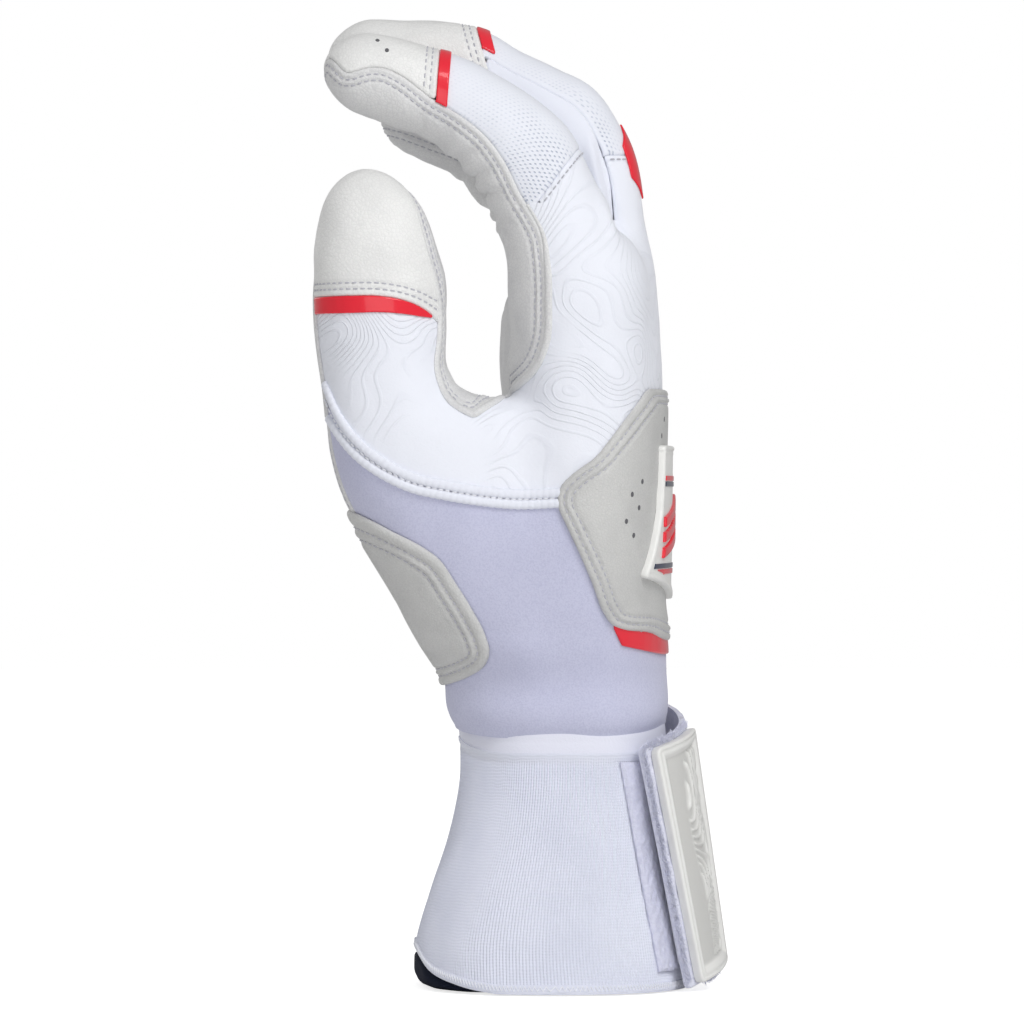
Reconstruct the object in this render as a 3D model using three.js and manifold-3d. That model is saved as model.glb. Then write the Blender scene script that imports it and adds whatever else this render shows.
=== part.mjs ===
// Right-hand batting glove, standing on its cuff as if filled by a hand that reaches forward.
// Millimetres, +Z up. +X is the back of the hand, -X the palm, -Y the thumb side, +Y the little finger's side.
// The origin is the middle of the footprint of the whole glove, on the surface it stands on.
import * as THREE from "three";
import { mergeVertices } from "three/addons/utils/BufferGeometryUtils.js";
import Module from "manifold-3d";

const wasm = await Module();
wasm.setup();

// Driving dimensions of the hand and cuff
const CUFF_HEIGHT = 54.8;
const HAND_LENGTH = 108; // cuff top to the finger roots
const PALM_DEPTH = 46; // palm to back, at the wrist
const PALM_BREADTH = 86; // across the knuckles
const HEM_DEPTH_SHARE = 1.3174; // of the palm's depth
const HEM_BREADTH_SHARE = 0.8605; // of the palm's breadth
const CUFF_DEPTH = HEM_DEPTH_SHARE * PALM_DEPTH; // palm to back, at the hem
const CUFF_BREADTH = HEM_BREADTH_SHARE * PALM_BREADTH; // across, at the hem

// Thicknesses and clearances
const SKIN = 1.4; // leather and knit walls
const CUFF_WALL = 1.7;
const LINING = 1.2;
const PATCH = 1.1; // sewn-on leather patches
const TRIM = 0.6; // welded red film
const WELT = 1.5; // rolled seams
const LAYER_GAP = 0.3; // between a layer and what it lies on
const SEAM_GAP = 0.4; // between two panels that meet at a seam
const JOINT_GAP = 0.5; // between a finger stall and the hand, round its flex axis
const OVERRUN = 30; // how far cutters pass the walls that they cut
const FAR = 2 * HAND_LENGTH; // past the whole glove on every side
const MERGE_TOLERANCE = 1e-4;

const FULL_TURN = 2 * Math.PI;
const FINGER_SIDES = 12;
const PALM_SIDES = 24;
const STATIONS = 11; // rings along a finger

const COLOURS = {
  embossed: 0xf1f2f5,
  knit: 0xe4e6f2,
  mesh: 0xeef0f6,
  palmLeather: 0xcfcfcd,
  tipLeather: 0xe9e9e6,
  patchLeather: 0xc9cac6,
  neoprene: 0xd9d9ea,
  red: 0xe01f30,
  rubber: 0xe6e6e0,
  navy: 0x141a30,
  velour: 0xdcdcee,
  hook: 0xd4d4e6,
};

const FINISHES = {
  cloth: { roughness: 0.9, metalness: 0 },
  leather: { roughness: 0.6, metalness: 0 },
  gloss: { roughness: 0.15, metalness: 0 },
  rubber: { roughness: 0.5, metalness: 0 },
};

// Solids and meshes

function solidOf(positions, triangles) {
  const geometry = new THREE.BufferGeometry();
  geometry.setAttribute("position", new THREE.Float32BufferAttribute(positions, 3));
  if (triangles) geometry.setIndex(triangles);
  const merged = mergeVertices(geometry, MERGE_TOLERANCE);
  const mesh = new wasm.Mesh({
    numProp: 3,
    vertProperties: merged.attributes.position.array,
    triVerts: new Uint32Array(merged.index.array),
  });
  return new wasm.Manifold(mesh);
}

// A closed solid through rings of points. Each ring's first point sees all the others, so it fans the end caps.
function loft(rings) {
  const sides = rings[0].length;
  const positions = rings.flat().flatMap((p) => [p.x, p.y, p.z]);
  const triangles = [];
  for (let r = 0; r < rings.length - 1; r++) {
    for (let s = 0; s < sides; s++) {
      const a = r * sides + s;
      const b = r * sides + ((s + 1) % sides);
      triangles.push(a, b, a + sides, b, b + sides, a + sides);
    }
  }
  const last = (rings.length - 1) * sides;
  for (let s = 1; s < sides - 1; s++) {
    triangles.push(0, s + 1, s, last, last + s, last + s + 1);
  }
  const solid = solidOf(positions, triangles);
  if (solid.volume() > 0) return solid;
  return solidOf(positions, triangles.reverse());
}

// A prism whose outline is drawn in X and Z, from yLow to yHigh.
function prism(outline, yLow, yHigh) {
  const shape = new THREE.Shape(outline.map(([x, z]) => new THREE.Vector2(x, z)));
  const geometry = new THREE.ExtrudeGeometry(shape, { depth: yHigh - yLow, bevelEnabled: false });
  geometry.rotateX(Math.PI / 2).translate(0, yHigh, 0);
  return solidOf(geometry.attributes.position.array, null);
}

// A prism whose outline is drawn in X and Y, from zLow to zHigh.
function column(outline, zLow, zHigh) {
  const shape = new THREE.Shape(outline.map(([x, y]) => new THREE.Vector2(x, y)));
  const geometry = new THREE.ExtrudeGeometry(shape, { depth: zHigh - zLow, bevelEnabled: false });
  geometry.translate(0, 0, zLow);
  return solidOf(geometry.attributes.position.array, null);
}

// A prism whose outline is drawn in Y and Z, from xLow to xHigh.
function slab(outline, xLow, xHigh) {
  const shape = new THREE.Shape(outline.map(([y, z]) => new THREE.Vector2(y, z)));
  const geometry = new THREE.ExtrudeGeometry(shape, { depth: xHigh - xLow, bevelEnabled: false });
  geometry.rotateX(Math.PI / 2).rotateZ(Math.PI / 2).translate(xLow, 0, 0);
  return solidOf(geometry.attributes.position.array, null);
}

const block = (xLow, xHigh, yLow, yHigh, zLow, zHigh) =>
  column([[xLow, yLow], [xHigh, yLow], [xHigh, yHigh], [xLow, yHigh]], zLow, zHigh);
const belowLevel = (z) => block(-FAR, FAR, -FAR, FAR, -FAR, z);
const aboveLevel = (z) => block(-FAR, FAR, -FAR, FAR, z, FAR);

// The cylinder round a flex axis that runs along Y.
const BARREL_SIDES = 36;
function barrel(hinge, radius) {
  const geometry = new THREE.CylinderGeometry(radius, radius, 2 * PALM_BREADTH, BARREL_SIDES);
  geometry.deleteAttribute("normal");
  geometry.deleteAttribute("uv");
  geometry.translate(hinge.x, 0, hinge.z);
  const merged = mergeVertices(geometry, MERGE_TOLERANCE);
  return solidOf(merged.attributes.position.array, Array.from(merged.index.array));
}

const joined = (solids) => solids.reduce((a, b) => a.add(b));

// A cut can leave slivers beside the piece that is wanted.
const largest = (solid) => solid.decompose().sort((a, b) => b.volume() - a.volume())[0];

function mesh(name, solid, colour, finish) {
  const made = largest(solid).getMesh();
  const geometry = new THREE.BufferGeometry();
  geometry.setAttribute("position", new THREE.BufferAttribute(made.vertProperties.slice(), 3));
  geometry.setIndex(new THREE.BufferAttribute(made.triVerts.slice(), 1));
  geometry.computeVertexNormals();
  const material = new THREE.MeshStandardMaterial({ color: COLOURS[colour], ...FINISHES[finish] });
  const piece = new THREE.Mesh(geometry, material);
  piece.name = name;
  return piece;
}

// Values read along a table of [share, value] rows
function along(table, share) {
  const next = table.findIndex(([at]) => at >= share);
  if (next < 0) return table[table.length - 1][1];
  if (next === 0) return table[0][1];
  const [s0, v0] = table[next - 1];
  const [s1, v1] = table[next];
  return v0 + ((v1 - v0) * (share - s0)) / (s1 - s0);
}

// The palm: rings from the cuff to the finger roots

// Height, centre and half depth as shares of HAND_LENGTH and PALM_DEPTH, half breadth as a share of PALM_BREADTH
const PALM_SHARES = [
  { up: 0.0, middle: 0.109, halfDepth: 0.496, halfBreadth: 0.343 },
  { up: 0.083, middle: 0.1, halfDepth: 0.509, halfBreadth: 0.36 },
  { up: 0.174, middle: 0.12, halfDepth: 0.487, halfBreadth: 0.395 },
  { up: 0.284, middle: 0.139, halfDepth: 0.439, halfBreadth: 0.442 },
  { up: 0.394, middle: 0.172, halfDepth: 0.409, halfBreadth: 0.477 },
  { up: 0.505, middle: 0.192, halfDepth: 0.391, halfBreadth: 0.494 },
  { up: 0.615, middle: 0.2, halfDepth: 0.385, halfBreadth: 0.5 },
  { up: 0.725, middle: 0.204, halfDepth: 0.384, halfBreadth: 0.5 },
  { up: 0.835, middle: 0.196, halfDepth: 0.378, halfBreadth: 0.5 },
  { up: 0.927, middle: 0.183, halfDepth: 0.357, halfBreadth: 0.494 },
  { up: 1.0, middle: 0.17, halfDepth: 0.339, halfBreadth: 0.488 },
];
const KNUCKLE_SLOPE = 0.124; // the finger roots drop this much per unit towards the little finger
const CREASE_SLOPE = 0.3; // and this much from the back of the hand towards the palm
const TOP_SLANT_POWER = 4; // how late the palm's rings take up the slant of its top
const SQUARENESS = 2.5; // the exponent of the palm's superellipse

function superellipse(angle, halfDepth, halfBreadth) {
  const power = 2 / SQUARENESS;
  const c = Math.cos(angle);
  const s = Math.sin(angle);
  return [
    halfDepth * Math.sign(c) * Math.abs(c) ** power,
    halfBreadth * Math.sign(s) * Math.abs(s) ** power,
  ];
}

function palmForm(grow, below) {
  const rings = PALM_SHARES.map(({ up, middle, halfDepth, halfBreadth }, row) => {
    const ring = [];
    for (let s = 0; s < PALM_SIDES; s++) {
      const angle = (FULL_TURN * (s + 0.5)) / PALM_SIDES;
      const [x, y] = superellipse(angle, halfDepth * PALM_DEPTH + grow, halfBreadth * PALM_BREADTH + grow);
      const end = row === PALM_SHARES.length - 1 ? grow : 0;
      const drop = KNUCKLE_SLOPE * y + CREASE_SLOPE * (halfDepth * PALM_DEPTH - x);
      const z = CUFF_HEIGHT + up * HAND_LENGTH + end - up ** TOP_SLANT_POWER * drop;
      ring.push(new THREE.Vector3(middle * PALM_DEPTH + x, y, z));
    }
    return ring;
  });
  const foot = rings[0].map((p) => new THREE.Vector3(p.x, p.y, p.z - below));
  return loft(below > 0 ? [foot, ...rings] : rings);
}

// Finger stalls: tubes along a curve that leaves the hinge upwards and ends reaching forward

const HINGE_DROP = 1.7; // the flex axes lie this far under the palm's top
const ROOT_RUN = 14; // a stall's tube runs on this far into the palm
const BARREL_MARGIN = 2.2; // how far the barrel of a flex axis stands past the stall's walls

// Points as shares of reach (towards the palm) and rise, from the hinge to the tip
const INDEX_PATH_SHARES = [
  [0, 0], [0.028, 0.1], [0.07, 0.26], [0.127, 0.42], [0.213, 0.56], [0.334, 0.686],
  [0.507, 0.822], [0.68, 0.893], [0.845, 0.959], [1, 1],
];
const MIDDLE_PATH_SHARES = [
  [0, 0], [-0.003, 0.192], [0.009, 0.349], [0.054, 0.52], [0.105, 0.635], [0.202, 0.719],
  [0.346, 0.827], [0.457, 0.916], [0.578, 0.958], [0.733, 0.974], [0.888, 0.988], [1, 1],
];
// Half depth and half breadth along a stall, as shares of its root's, before the tip closes
const FINGER_DEPTH_SHARES = [[0, 1], [0.14, 0.93], [0.26, 0.93], [0.4, 0.87], [0.6, 0.79], [0.8, 0.73], [1, 0.64]];
const FINGER_BREADTH_SHARES = [[0, 1], [0.3, 0.97], [0.6, 0.9], [0.8, 0.84], [1, 0.78]];

// y is where the stall's plane lies across the hand; x is its hinge, from the wrist's middle plane.
// The knuckle seam and the tip cap's edge are planes across the stall, at shares of its length.
const FINGERS = {
  index: {
    x: 3.6, y: -31.5, reach: 50.3, rise: 36.8, halfDepth: 12.1, halfBreadth: 10.2,
    path: INDEX_PATH_SHARES, tip: 9, seamShare: 0.27, capShare: 0.645, capSlope: -0.25,
  },
  middle: {
    x: 10.9, y: -10.5, reach: 57.3, rise: 42.6, halfDepth: 12.2, halfBreadth: 10.2,
    path: MIDDLE_PATH_SHARES, tip: 9, seamShare: 0.24, capShare: 0.615, capSlope: -0.2,
  },
  ring: {
    x: 9.2, y: 10.5, reach: 53.5, rise: 43, halfDepth: 11.9, halfBreadth: 10.1,
    path: MIDDLE_PATH_SHARES, tip: 8.6, seamShare: 0.26, capShare: 0.63, capSlope: 0,
  },
  little: {
    x: 5.4, y: 30.2, reach: 41, rise: 38.5, halfDepth: 11.2, halfBreadth: 9.2,
    path: INDEX_PATH_SHARES, tip: 8, seamShare: 0.28, capShare: 0.62, capSlope: 0,
  },
};

const hingeOf = ({ x, y }) => new THREE.Vector3(x, y, CUFF_HEIGHT + HAND_LENGTH - KNUCKLE_SLOPE * y - HINGE_DROP);

function fingerCurve(finger) {
  const hinge = hingeOf(finger);
  const points = finger.path.map(
    ([forward, up]) => new THREE.Vector3(hinge.x - forward * finger.reach, finger.y, hinge.z + up * finger.rise),
  );
  return new THREE.CatmullRomCurve3(points, false, "centripetal");
}

// A ring round the curve: angle 0 is the back of the stall and a quarter turn is towards the little finger.
function ringAt(centre, tangent, halfDepth, halfBreadth, sides) {
  const back = new THREE.Vector3(tangent.z, 0, -tangent.x).normalize();
  const across = new THREE.Vector3(0, 1, 0);
  const ring = [];
  for (let s = 0; s < sides; s++) {
    const angle = (FULL_TURN * (s + 0.5)) / sides;
    ring.push(
      centre
        .clone()
        .addScaledVector(back, halfDepth * Math.cos(angle))
        .addScaledVector(across, halfBreadth * Math.sin(angle)),
    );
  }
  return ring;
}

// How far a dome of this length has closed at a distance from its end
const domeAt = (left, length) => (left >= length ? 1 : Math.sqrt(Math.max(0, 1 - (1 - left / length) ** 2)));

const TIP_LEAST_SHARE = 0.18; // the last ring's size, as a share of the stall's

function fingerForm(finger, grow, rootRun) {
  const curve = fingerCurve(finger);
  const length = curve.getLength();
  const rings = [];
  const foot = curve.getPointAt(0).addScaledVector(curve.getTangentAt(0), -rootRun);
  rings.push(ringAt(foot, curve.getTangentAt(0), finger.halfDepth + grow, finger.halfBreadth + grow, FINGER_SIDES));
  for (let i = 0; i < STATIONS; i++) {
    const u = stationShare(i);
    const closing = Math.max(domeAt((1 - u) * length, finger.tip), TIP_LEAST_SHARE);
    const tangent = curve.getTangentAt(u);
    const centre = curve.getPointAt(u).addScaledVector(tangent, i === STATIONS - 1 ? grow : 0);
    const halfDepth = (finger.halfDepth * along(FINGER_DEPTH_SHARES, u) + grow) * closing;
    const halfBreadth = (finger.halfBreadth * along(FINGER_BREADTH_SHARES, u) + grow) * closing;
    rings.push(ringAt(centre, tangent, halfDepth, halfBreadth, FINGER_SIDES));
  }
  return loft(rings);
}

// Even steps crowd towards the tip, where the dome closes.
const stationShare = (i) => Math.sin((i / (STATIONS - 1)) * (Math.PI / 2));

// A cutter that holds one side of a stall, from angle a to angle b round it and past its tip
const SECTOR_REACH_SHARE = 1.35; // of the stall's larger half size
const SECTOR_STEP = 0.7; // radians
function sector(finger, a, b) {
  const curve = fingerCurve(finger);
  const inset = SEAM_GAP / 2 / finger.halfBreadth;
  const radius = SECTOR_REACH_SHARE * Math.max(finger.halfDepth, finger.halfBreadth);
  const steps = Math.ceil((b - a) / SECTOR_STEP);
  const ringOn = (centre, tangent) => {
    const back = new THREE.Vector3(tangent.z, 0, -tangent.x);
    const ring = [centre];
    for (let s = 0; s <= steps; s++) {
      const angle = a + inset + ((b - a - 2 * inset) * s) / steps;
      const out = back.clone().multiplyScalar(radius * Math.cos(angle));
      out.y = radius * Math.sin(angle);
      ring.push(centre.clone().add(out));
    }
    return ring;
  };
  const rings = [];
  for (let i = 0; i < STATIONS; i++) {
    const u = stationShare(i);
    const past = i === STATIONS - 1 ? OVERRUN : 0;
    const tangent = curve.getTangentAt(u);
    rings.push(ringOn(curve.getPointAt(u).addScaledVector(tangent, past), tangent));
  }
  return loft(rings);
}

// A cutter that holds everything on the root's side of the plane across a stall at share u of its length.
// slant moves the plane towards the tip at the stall's back, and onwards moves all of it that far.
function rootSide(finger, u, onwards, slant = 0) {
  const curve = fingerCurve(finger);
  const tangent = curve.getTangentAt(u);
  const back = new THREE.Vector3(tangent.z, 0, -tangent.x);
  const across = back.clone().addScaledVector(tangent, slant).normalize();
  const down = new THREE.Vector3(-across.z, 0, across.x);
  if (down.dot(tangent) > 0) down.negate();
  const point = curve.getPointAt(u).addScaledVector(tangent, onwards);
  const corner = (side, depth) => {
    const p = point.clone().addScaledVector(across, side * OVERRUN).addScaledVector(down, depth);
    return [p.x, p.z];
  };
  const deep = 2 * OVERRUN;
  return prism([corner(-1, 0), corner(1, 0), corner(1, deep), corner(-1, deep)], -PALM_BREADTH, PALM_BREADTH);
}

// The thumb: a thicker tube from the heel of the hand, parallel to the palm

const THUMB = { x: -31.9, y: -32.5, up: 71, rise: 53.2, halfDepth: 14.6, halfBreadth: 12.2, capUp: 96.6 };
const THUMB_HINGE = new THREE.Vector3(THUMB.x, THUMB.y, CUFF_HEIGHT + THUMB.up);
// Centre as shares of PALM_DEPTH, PALM_BREADTH and HAND_LENGTH, and half sizes as shares of the thumb's own
const THUMB_ROOT_SHARES = [
  { x: -0.025, y: -0.15, up: 0.02, depth: 1.05, breadth: 0.95 },
  { x: -0.11, y: -0.19, up: 0.17, depth: 1.14, breadth: 1.1 },
  { x: -0.33, y: -0.26, up: 0.35, depth: 1.16, breadth: 1.25 },
  { x: -0.52, y: -0.32, up: 0.49, depth: 1.14, breadth: 1.27 },
  { x: -0.66, y: -0.36, up: 0.6, depth: 1.05, breadth: 1.13 },
];
// Centre as shares of the thumb's halfDepth, halfBreadth and rise from its hinge
const THUMB_TIP_SHARES = [
  { x: 0, y: 0, up: 0, depth: 1, breadth: 1 },
  { x: -0.137, y: -0.08, up: 0.168, depth: 0.91, breadth: 0.95 },
  { x: -0.185, y: -0.15, up: 0.39, depth: 0.95, breadth: 0.94 },
  { x: -0.2, y: -0.19, up: 0.516, depth: 0.965, breadth: 0.92 },
  { x: -0.26, y: -0.21, up: 0.64, depth: 0.9, breadth: 0.86 },
  { x: -0.33, y: -0.22, up: 0.77, depth: 0.78, breadth: 0.76 },
  { x: -0.425, y: -0.22, up: 0.88, depth: 0.61, breadth: 0.6 },
  { x: -0.473, y: -0.22, up: 0.955, depth: 0.42, breadth: 0.42 },
  { x: -0.5, y: -0.22, up: 1, depth: 0.19, breadth: 0.2 },
];

function thumbStations() {
  const root = THUMB_ROOT_SHARES.map(({ x, y, up, depth, breadth }) => ({
    centre: new THREE.Vector3(x * PALM_DEPTH, y * PALM_BREADTH, CUFF_HEIGHT + up * HAND_LENGTH),
    depth: depth * THUMB.halfDepth,
    breadth: breadth * THUMB.halfBreadth,
  }));
  const stall = THUMB_TIP_SHARES.map(({ x, y, up, depth, breadth }) => ({
    centre: THUMB_HINGE.clone().add(
      new THREE.Vector3(x * THUMB.halfDepth, y * THUMB.halfBreadth, up * THUMB.rise),
    ),
    depth: depth * THUMB.halfDepth,
    breadth: breadth * THUMB.halfBreadth,
  }));
  return [...root, ...stall];
}

const THUMB_SIDES = 14;
function thumbForm(grow) {
  const stations = thumbStations();
  const rings = stations.map(({ centre, depth, breadth }, i) => {
    const before = stations[Math.max(i - 1, 0)].centre;
    const after = stations[Math.min(i + 1, stations.length - 1)].centre;
    const tangent = after.clone().sub(before).normalize();
    const end = i === stations.length - 1 ? grow : 0;
    return ringAt(centre.clone().addScaledVector(tangent, end), tangent, depth + grow, breadth + grow, THUMB_SIDES);
  });
  return loft(rings);
}

// The web between thumb and palm, in level rings: shares as for the thumb's root
const WEB_SHARES = [
  { x: -0.1, y: -0.28, up: 0.22, depth: 0.7, breadth: 0.8 },
  { x: -0.2, y: -0.32, up: 0.4, depth: 0.95, breadth: 0.95 },
  { x: -0.28, y: -0.345, up: 0.54, depth: 0.98, breadth: 0.95 },
  { x: -0.33, y: -0.355, up: 0.645, depth: 0.9, breadth: 0.83 },
  { x: -0.34, y: -0.36, up: 0.678, depth: 0.72, breadth: 0.6 },
];

function webForm(grow) {
  const rings = WEB_SHARES.map(({ x, y, up, depth, breadth }, row) => {
    const end = row === WEB_SHARES.length - 1 ? grow : 0;
    const centre = new THREE.Vector3(x * PALM_DEPTH, y * PALM_BREADTH, CUFF_HEIGHT + up * HAND_LENGTH + end);
    const upwards = new THREE.Vector3(0, 0, 1);
    return ringAt(centre, upwards, depth * THUMB.halfDepth + grow, breadth * THUMB.halfBreadth + grow, THUMB_SIDES);
  });
  return loft(rings);
}

const THUMB_BARREL_MARGIN = 2.2;
const thumbBarrel = (grow) => barrel(THUMB_HINGE, THUMB.halfDepth + THUMB_BARREL_MARGIN + grow);
const fingerBarrel = (finger, grow) => barrel(hingeOf(finger), finger.halfDepth + BARREL_MARGIN + grow);

// The whole hand without the stalls past their flex axes
function handForm(grow, below) {
  const roots = Object.values(FINGERS).map((finger) => {
    const hinge = hingeOf(finger);
    const inside = fingerBarrel(finger, -JOINT_GAP);
    return fingerForm(finger, grow, ROOT_RUN).intersect(inside.add(belowLevel(hinge.z)));
  });
  const thumb = thumbForm(grow).intersect(belowLevel(THUMB_HINGE.z).add(thumbBarrel(-JOINT_GAP)));
  return joined([palmForm(grow, below), thumb, webForm(grow), ...roots]);
}

function handHollow() {
  const fingers = Object.values(FINGERS).map((finger) => fingerForm(finger, -SKIN, ROOT_RUN));
  return joined([palmForm(-SKIN, OVERRUN), thumbForm(-SKIN), webForm(-SKIN), ...fingers]);
}

// Outlines on the thumb side, as shares of PALM_DEPTH and of HAND_LENGTH above the cuff

const onSide = (shares) => shares.map(([x, up]) => [x * PALM_DEPTH, CUFF_HEIGHT + up * HAND_LENGTH]);

// The palm leather's edge from the thumb's crotch up the side of the index finger
const CROTCH_EDGE_SHARES = [
  [-0.338, 0.672], [-0.222, 0.702], [-0.106, 0.741], [0, 0.776], [0.034, 0.821], [0.039, 0.894], [0.034, 0.963],
  [0.01, 1.043],
];
// The sewn seam between the embossed back and the neoprene below it
const BACK_SEAM_SHARES = [
  [-1.3, 0.66], [-0.94, 0.619], [-0.845, 0.578], [-0.725, 0.544], [-0.6, 0.52], [-0.457, 0.506], [-0.3, 0.496],
  [-0.111, 0.488], [0.097, 0.491], [1.2, 0.49],
];
const HEEL_PATCH_SHARES = [
  [-1.3, 0.52], [-0.952, 0.483], [-0.739, 0.43], [-0.572, 0.394], [-0.488, 0.368], [-0.406, 0.319], [-0.321, 0.262],
  [-0.258, 0.209], [-0.242, 0.174], [-0.271, 0.148], [-0.343, 0.125], [-0.447, 0.107], [-1.3, 0.107],
];
const BACK_PATCH_SHARES = [
  [1.2, 0.715], [0.519, 0.715], [0.396, 0.644], [0.261, 0.572], [0.094, 0.509], [0.085, 0.478], [0.186, 0.379],
  [0.309, 0.254], [0.348, 0.231], [0.396, 0.223], [0.531, 0.213], [1.2, 0.165],
];
const WRIST_TRIM_SHARES = [[0.352, 0.226], [0.396, 0.183], [1.2, 0.125], [1.2, 0.162], [0.533, 0.209], [0.396, 0.219]];

const PALM_SEAM_SHARES = { index: 0.022, middle: 0.17, ring: 0.15, little: 0.1 }; // of PALM_DEPTH, at each root
const THUMB_SEAM_Y = THUMB.y - SEAM_GAP / 2;
// The palm leather's edge on the thumb side, below the thumb: shares of THUMB.y and of HAND_LENGTH
const HEEL_SEAM_SHARES = [[0.5, -1], [0.55, 0], [0.68, 0.12], [0.88, 0.28], [1, 0.42], [1, 2]];
const PALM_FOOT = CUFF_HEIGHT + LAYER_GAP;

// The half of the hand that the palm leather covers. shift moves its border away from the leather.
function palmSide(shift) {
  const edges = Object.entries(FINGERS).map(([name, finger], i, all) => {
    const seam = PALM_SEAM_SHARES[name] * PALM_DEPTH + shift;
    const left = i === 0 ? -PALM_BREADTH : (all[i - 1][1].y + finger.y) / 2;
    const right = i === all.length - 1 ? PALM_BREADTH : (finger.y + all[i + 1][1].y) / 2;
    return [[seam, left], [seam, right]];
  });
  const front = column([[-FAR, -PALM_BREADTH], ...edges.flat(), [-FAR, PALM_BREADTH]], 0, FAR);
  const seamLine = HEEL_SEAM_SHARES.map(([y, up]) => [y * THUMB_SEAM_Y - shift, CUFF_HEIGHT + up * HAND_LENGTH]);
  const [, lineTop] = seamLine[seamLine.length - 1];
  const [, lineFoot] = seamLine[0];
  const behindThumbSeam = slab([...seamLine, [PALM_BREADTH, lineTop], [PALM_BREADTH, lineFoot]], -FAR, FAR);
  const edge = onSide(CROTCH_EDGE_SHARES);
  const foot = edge[0];
  const head = edge[edge.length - 1];
  const besideIndex = prism(
    [
      [foot[0] - shift, foot[1] - shift],
      ...edge.map(([x, z]) => [x + shift, z - shift]),
      [head[0] + shift, FAR],
      [foot[0] - shift, FAR],
    ],
    -PALM_BREADTH,
    THUMB_SEAM_Y + SKIN,
  );
  return front.intersect(behindThumbSeam.add(besideIndex));
}

// Everything above the back's seam, moved by shift
function aboveBackSeam(shift) {
  const seam = onSide(BACK_SEAM_SHARES).map(([x, z]) => [x, z + shift]);
  return prism([...seam, [seam[seam.length - 1][0], FAR], [seam[0][0], FAR]], -PALM_BREADTH, PALM_BREADTH);
}

// A layer on the hand, from the surface it lies on to its own
function handLayer(thickness, cutter, under = 0) {
  const low = LAYER_GAP + under;
  return handForm(low + thickness, 0).subtract(handForm(low, OVERRUN)).intersect(cutter);
}

// A band of this width along an open outline
function bandAlong(points, width) {
  const offset = (sign) =>
    points.map(([x, z], i) => {
      const [x0, z0] = points[Math.max(i - 1, 0)];
      const [x1, z1] = points[Math.min(i + 1, points.length - 1)];
      const length = Math.hypot(x1 - x0, z1 - z0);
      return [x + (sign * (z1 - z0) * width) / 2 / length, z - (sign * (x1 - x0) * width) / 2 / length];
    });
  return [...offset(1), ...offset(-1).reverse()];
}

function makeHand() {
  const shell = handForm(0, 0).subtract(handHollow()).subtract(belowLevel(PALM_FOOT));
  const palm = shell.intersect(palmSide(0));
  const rest = shell.subtract(palmSide(SEAM_GAP));
  const back = rest.intersect(aboveBackSeam(SEAM_GAP / 2));
  const wrist = rest.subtract(aboveBackSeam(-SEAM_GAP / 2));
  return { palm, back, wrist };
}

const HEEL_PATCH_EDGE_Y = -2; // the heel patch ends here on the palm
const BADGE = { depth: 1.8, top: 64.5, bottom: 30.5, side: 36, breadth: 46, foot: 56 };
const WELT_WIDTH = 3.3;
const BINDING_WIDTH = 1.3;
const PATCH_CLEARANCE = 4 * LAYER_GAP; // between the welt's end and the back patch

function makeHandLayers() {
  const wide = PALM_BREADTH;
  const heel = handLayer(PATCH, prism(onSide(HEEL_PATCH_SHARES), -wide, HEEL_PATCH_EDGE_Y));
  const backOutline = onSide(BACK_PATCH_SHARES);
  const backPatch = handLayer(PATCH, prism(backOutline, -wide, wide));
  const trim = handLayer(TRIM, prism(onSide(WRIST_TRIM_SHARES), -wide, wide));
  const { depth, top, bottom, side, breadth, foot } = BADGE;
  const badgeOutline = [
    [-breadth / 2, top], [-breadth / 2, (top + side) / 2], [-foot / 2, side], [0, bottom], [foot / 2, side],
    [breadth / 2, (top + side) / 2], [breadth / 2, top],
  ].map(([y, up]) => [y, CUFF_HEIGHT + up]);
  const badge = handLayer(depth, slab(badgeOutline, 0, PALM_DEPTH), PATCH + LAYER_GAP);
  const nearPatch = prism(backOutline.map(([x, z]) => [x - PATCH_CLEARANCE, z]), -wide, wide);
  const weltBand = bandAlong(onSide(BACK_SEAM_SHARES).slice(1, -1), WELT_WIDTH);
  const welt = handLayer(WELT, prism(weltBand, -wide, THUMB.y)).subtract(nearPatch);
  const bindingBand = bandAlong(onSide(CROTCH_EDGE_SHARES).slice(0, -1), BINDING_WIDTH);
  const binding = handLayer(WELT, prism(bindingBand, -wide, THUMB.y));
  return { heel, backPatch, trim, badge, welt, binding };
}

// The cuff: knitted elastic that flares to its hem, slit at the back of the wrist

const CUFF_SHARES = [
  { up: 0, middle: 0.043, depth: 0.502, breadth: 0.5 },
  { up: 0.18, middle: 0.034, depth: 0.487, breadth: 0.485 },
  { up: 0.38, middle: 0.044, depth: 0.446, breadth: 0.455 },
  { up: 0.6, middle: 0.066, depth: 0.4, breadth: 0.42 },
  { up: 0.82, middle: 0.081, depth: 0.378, breadth: 0.402 },
  { up: 1, middle: 0.083, depth: 0.376, breadth: 0.398 },
];
const CUFF_SIDES = 28;
const BAND_HEIGHT = 4.2; // the smooth band at the cuff's top
const HEM_HEIGHT = 2.8;
const HEM_BULGE = 0.4;
const SLIT = { y: 4, width: 7 };
// The hem's lower edge, as shares of CUFF_DEPTH and CUFF_HEIGHT: it rises at the heel of the hand
const HEM_SHARES = [[-0.7, 0.2], [-0.46, 0.15], [-0.4, 0.075], [-0.3, 0.03], [-0.16, 0], [0.9, 0]];

function cuffAt(share, angle, grow) {
  const read = (key) => along(CUFF_SHARES.map((row) => [row.up, row[key]]), share);
  const [x, y] = superellipse(angle, read("depth") * CUFF_DEPTH + grow, read("breadth") * CUFF_BREADTH + grow);
  return new THREE.Vector3(read("middle") * CUFF_DEPTH + x, y, share * CUFF_HEIGHT);
}

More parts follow.
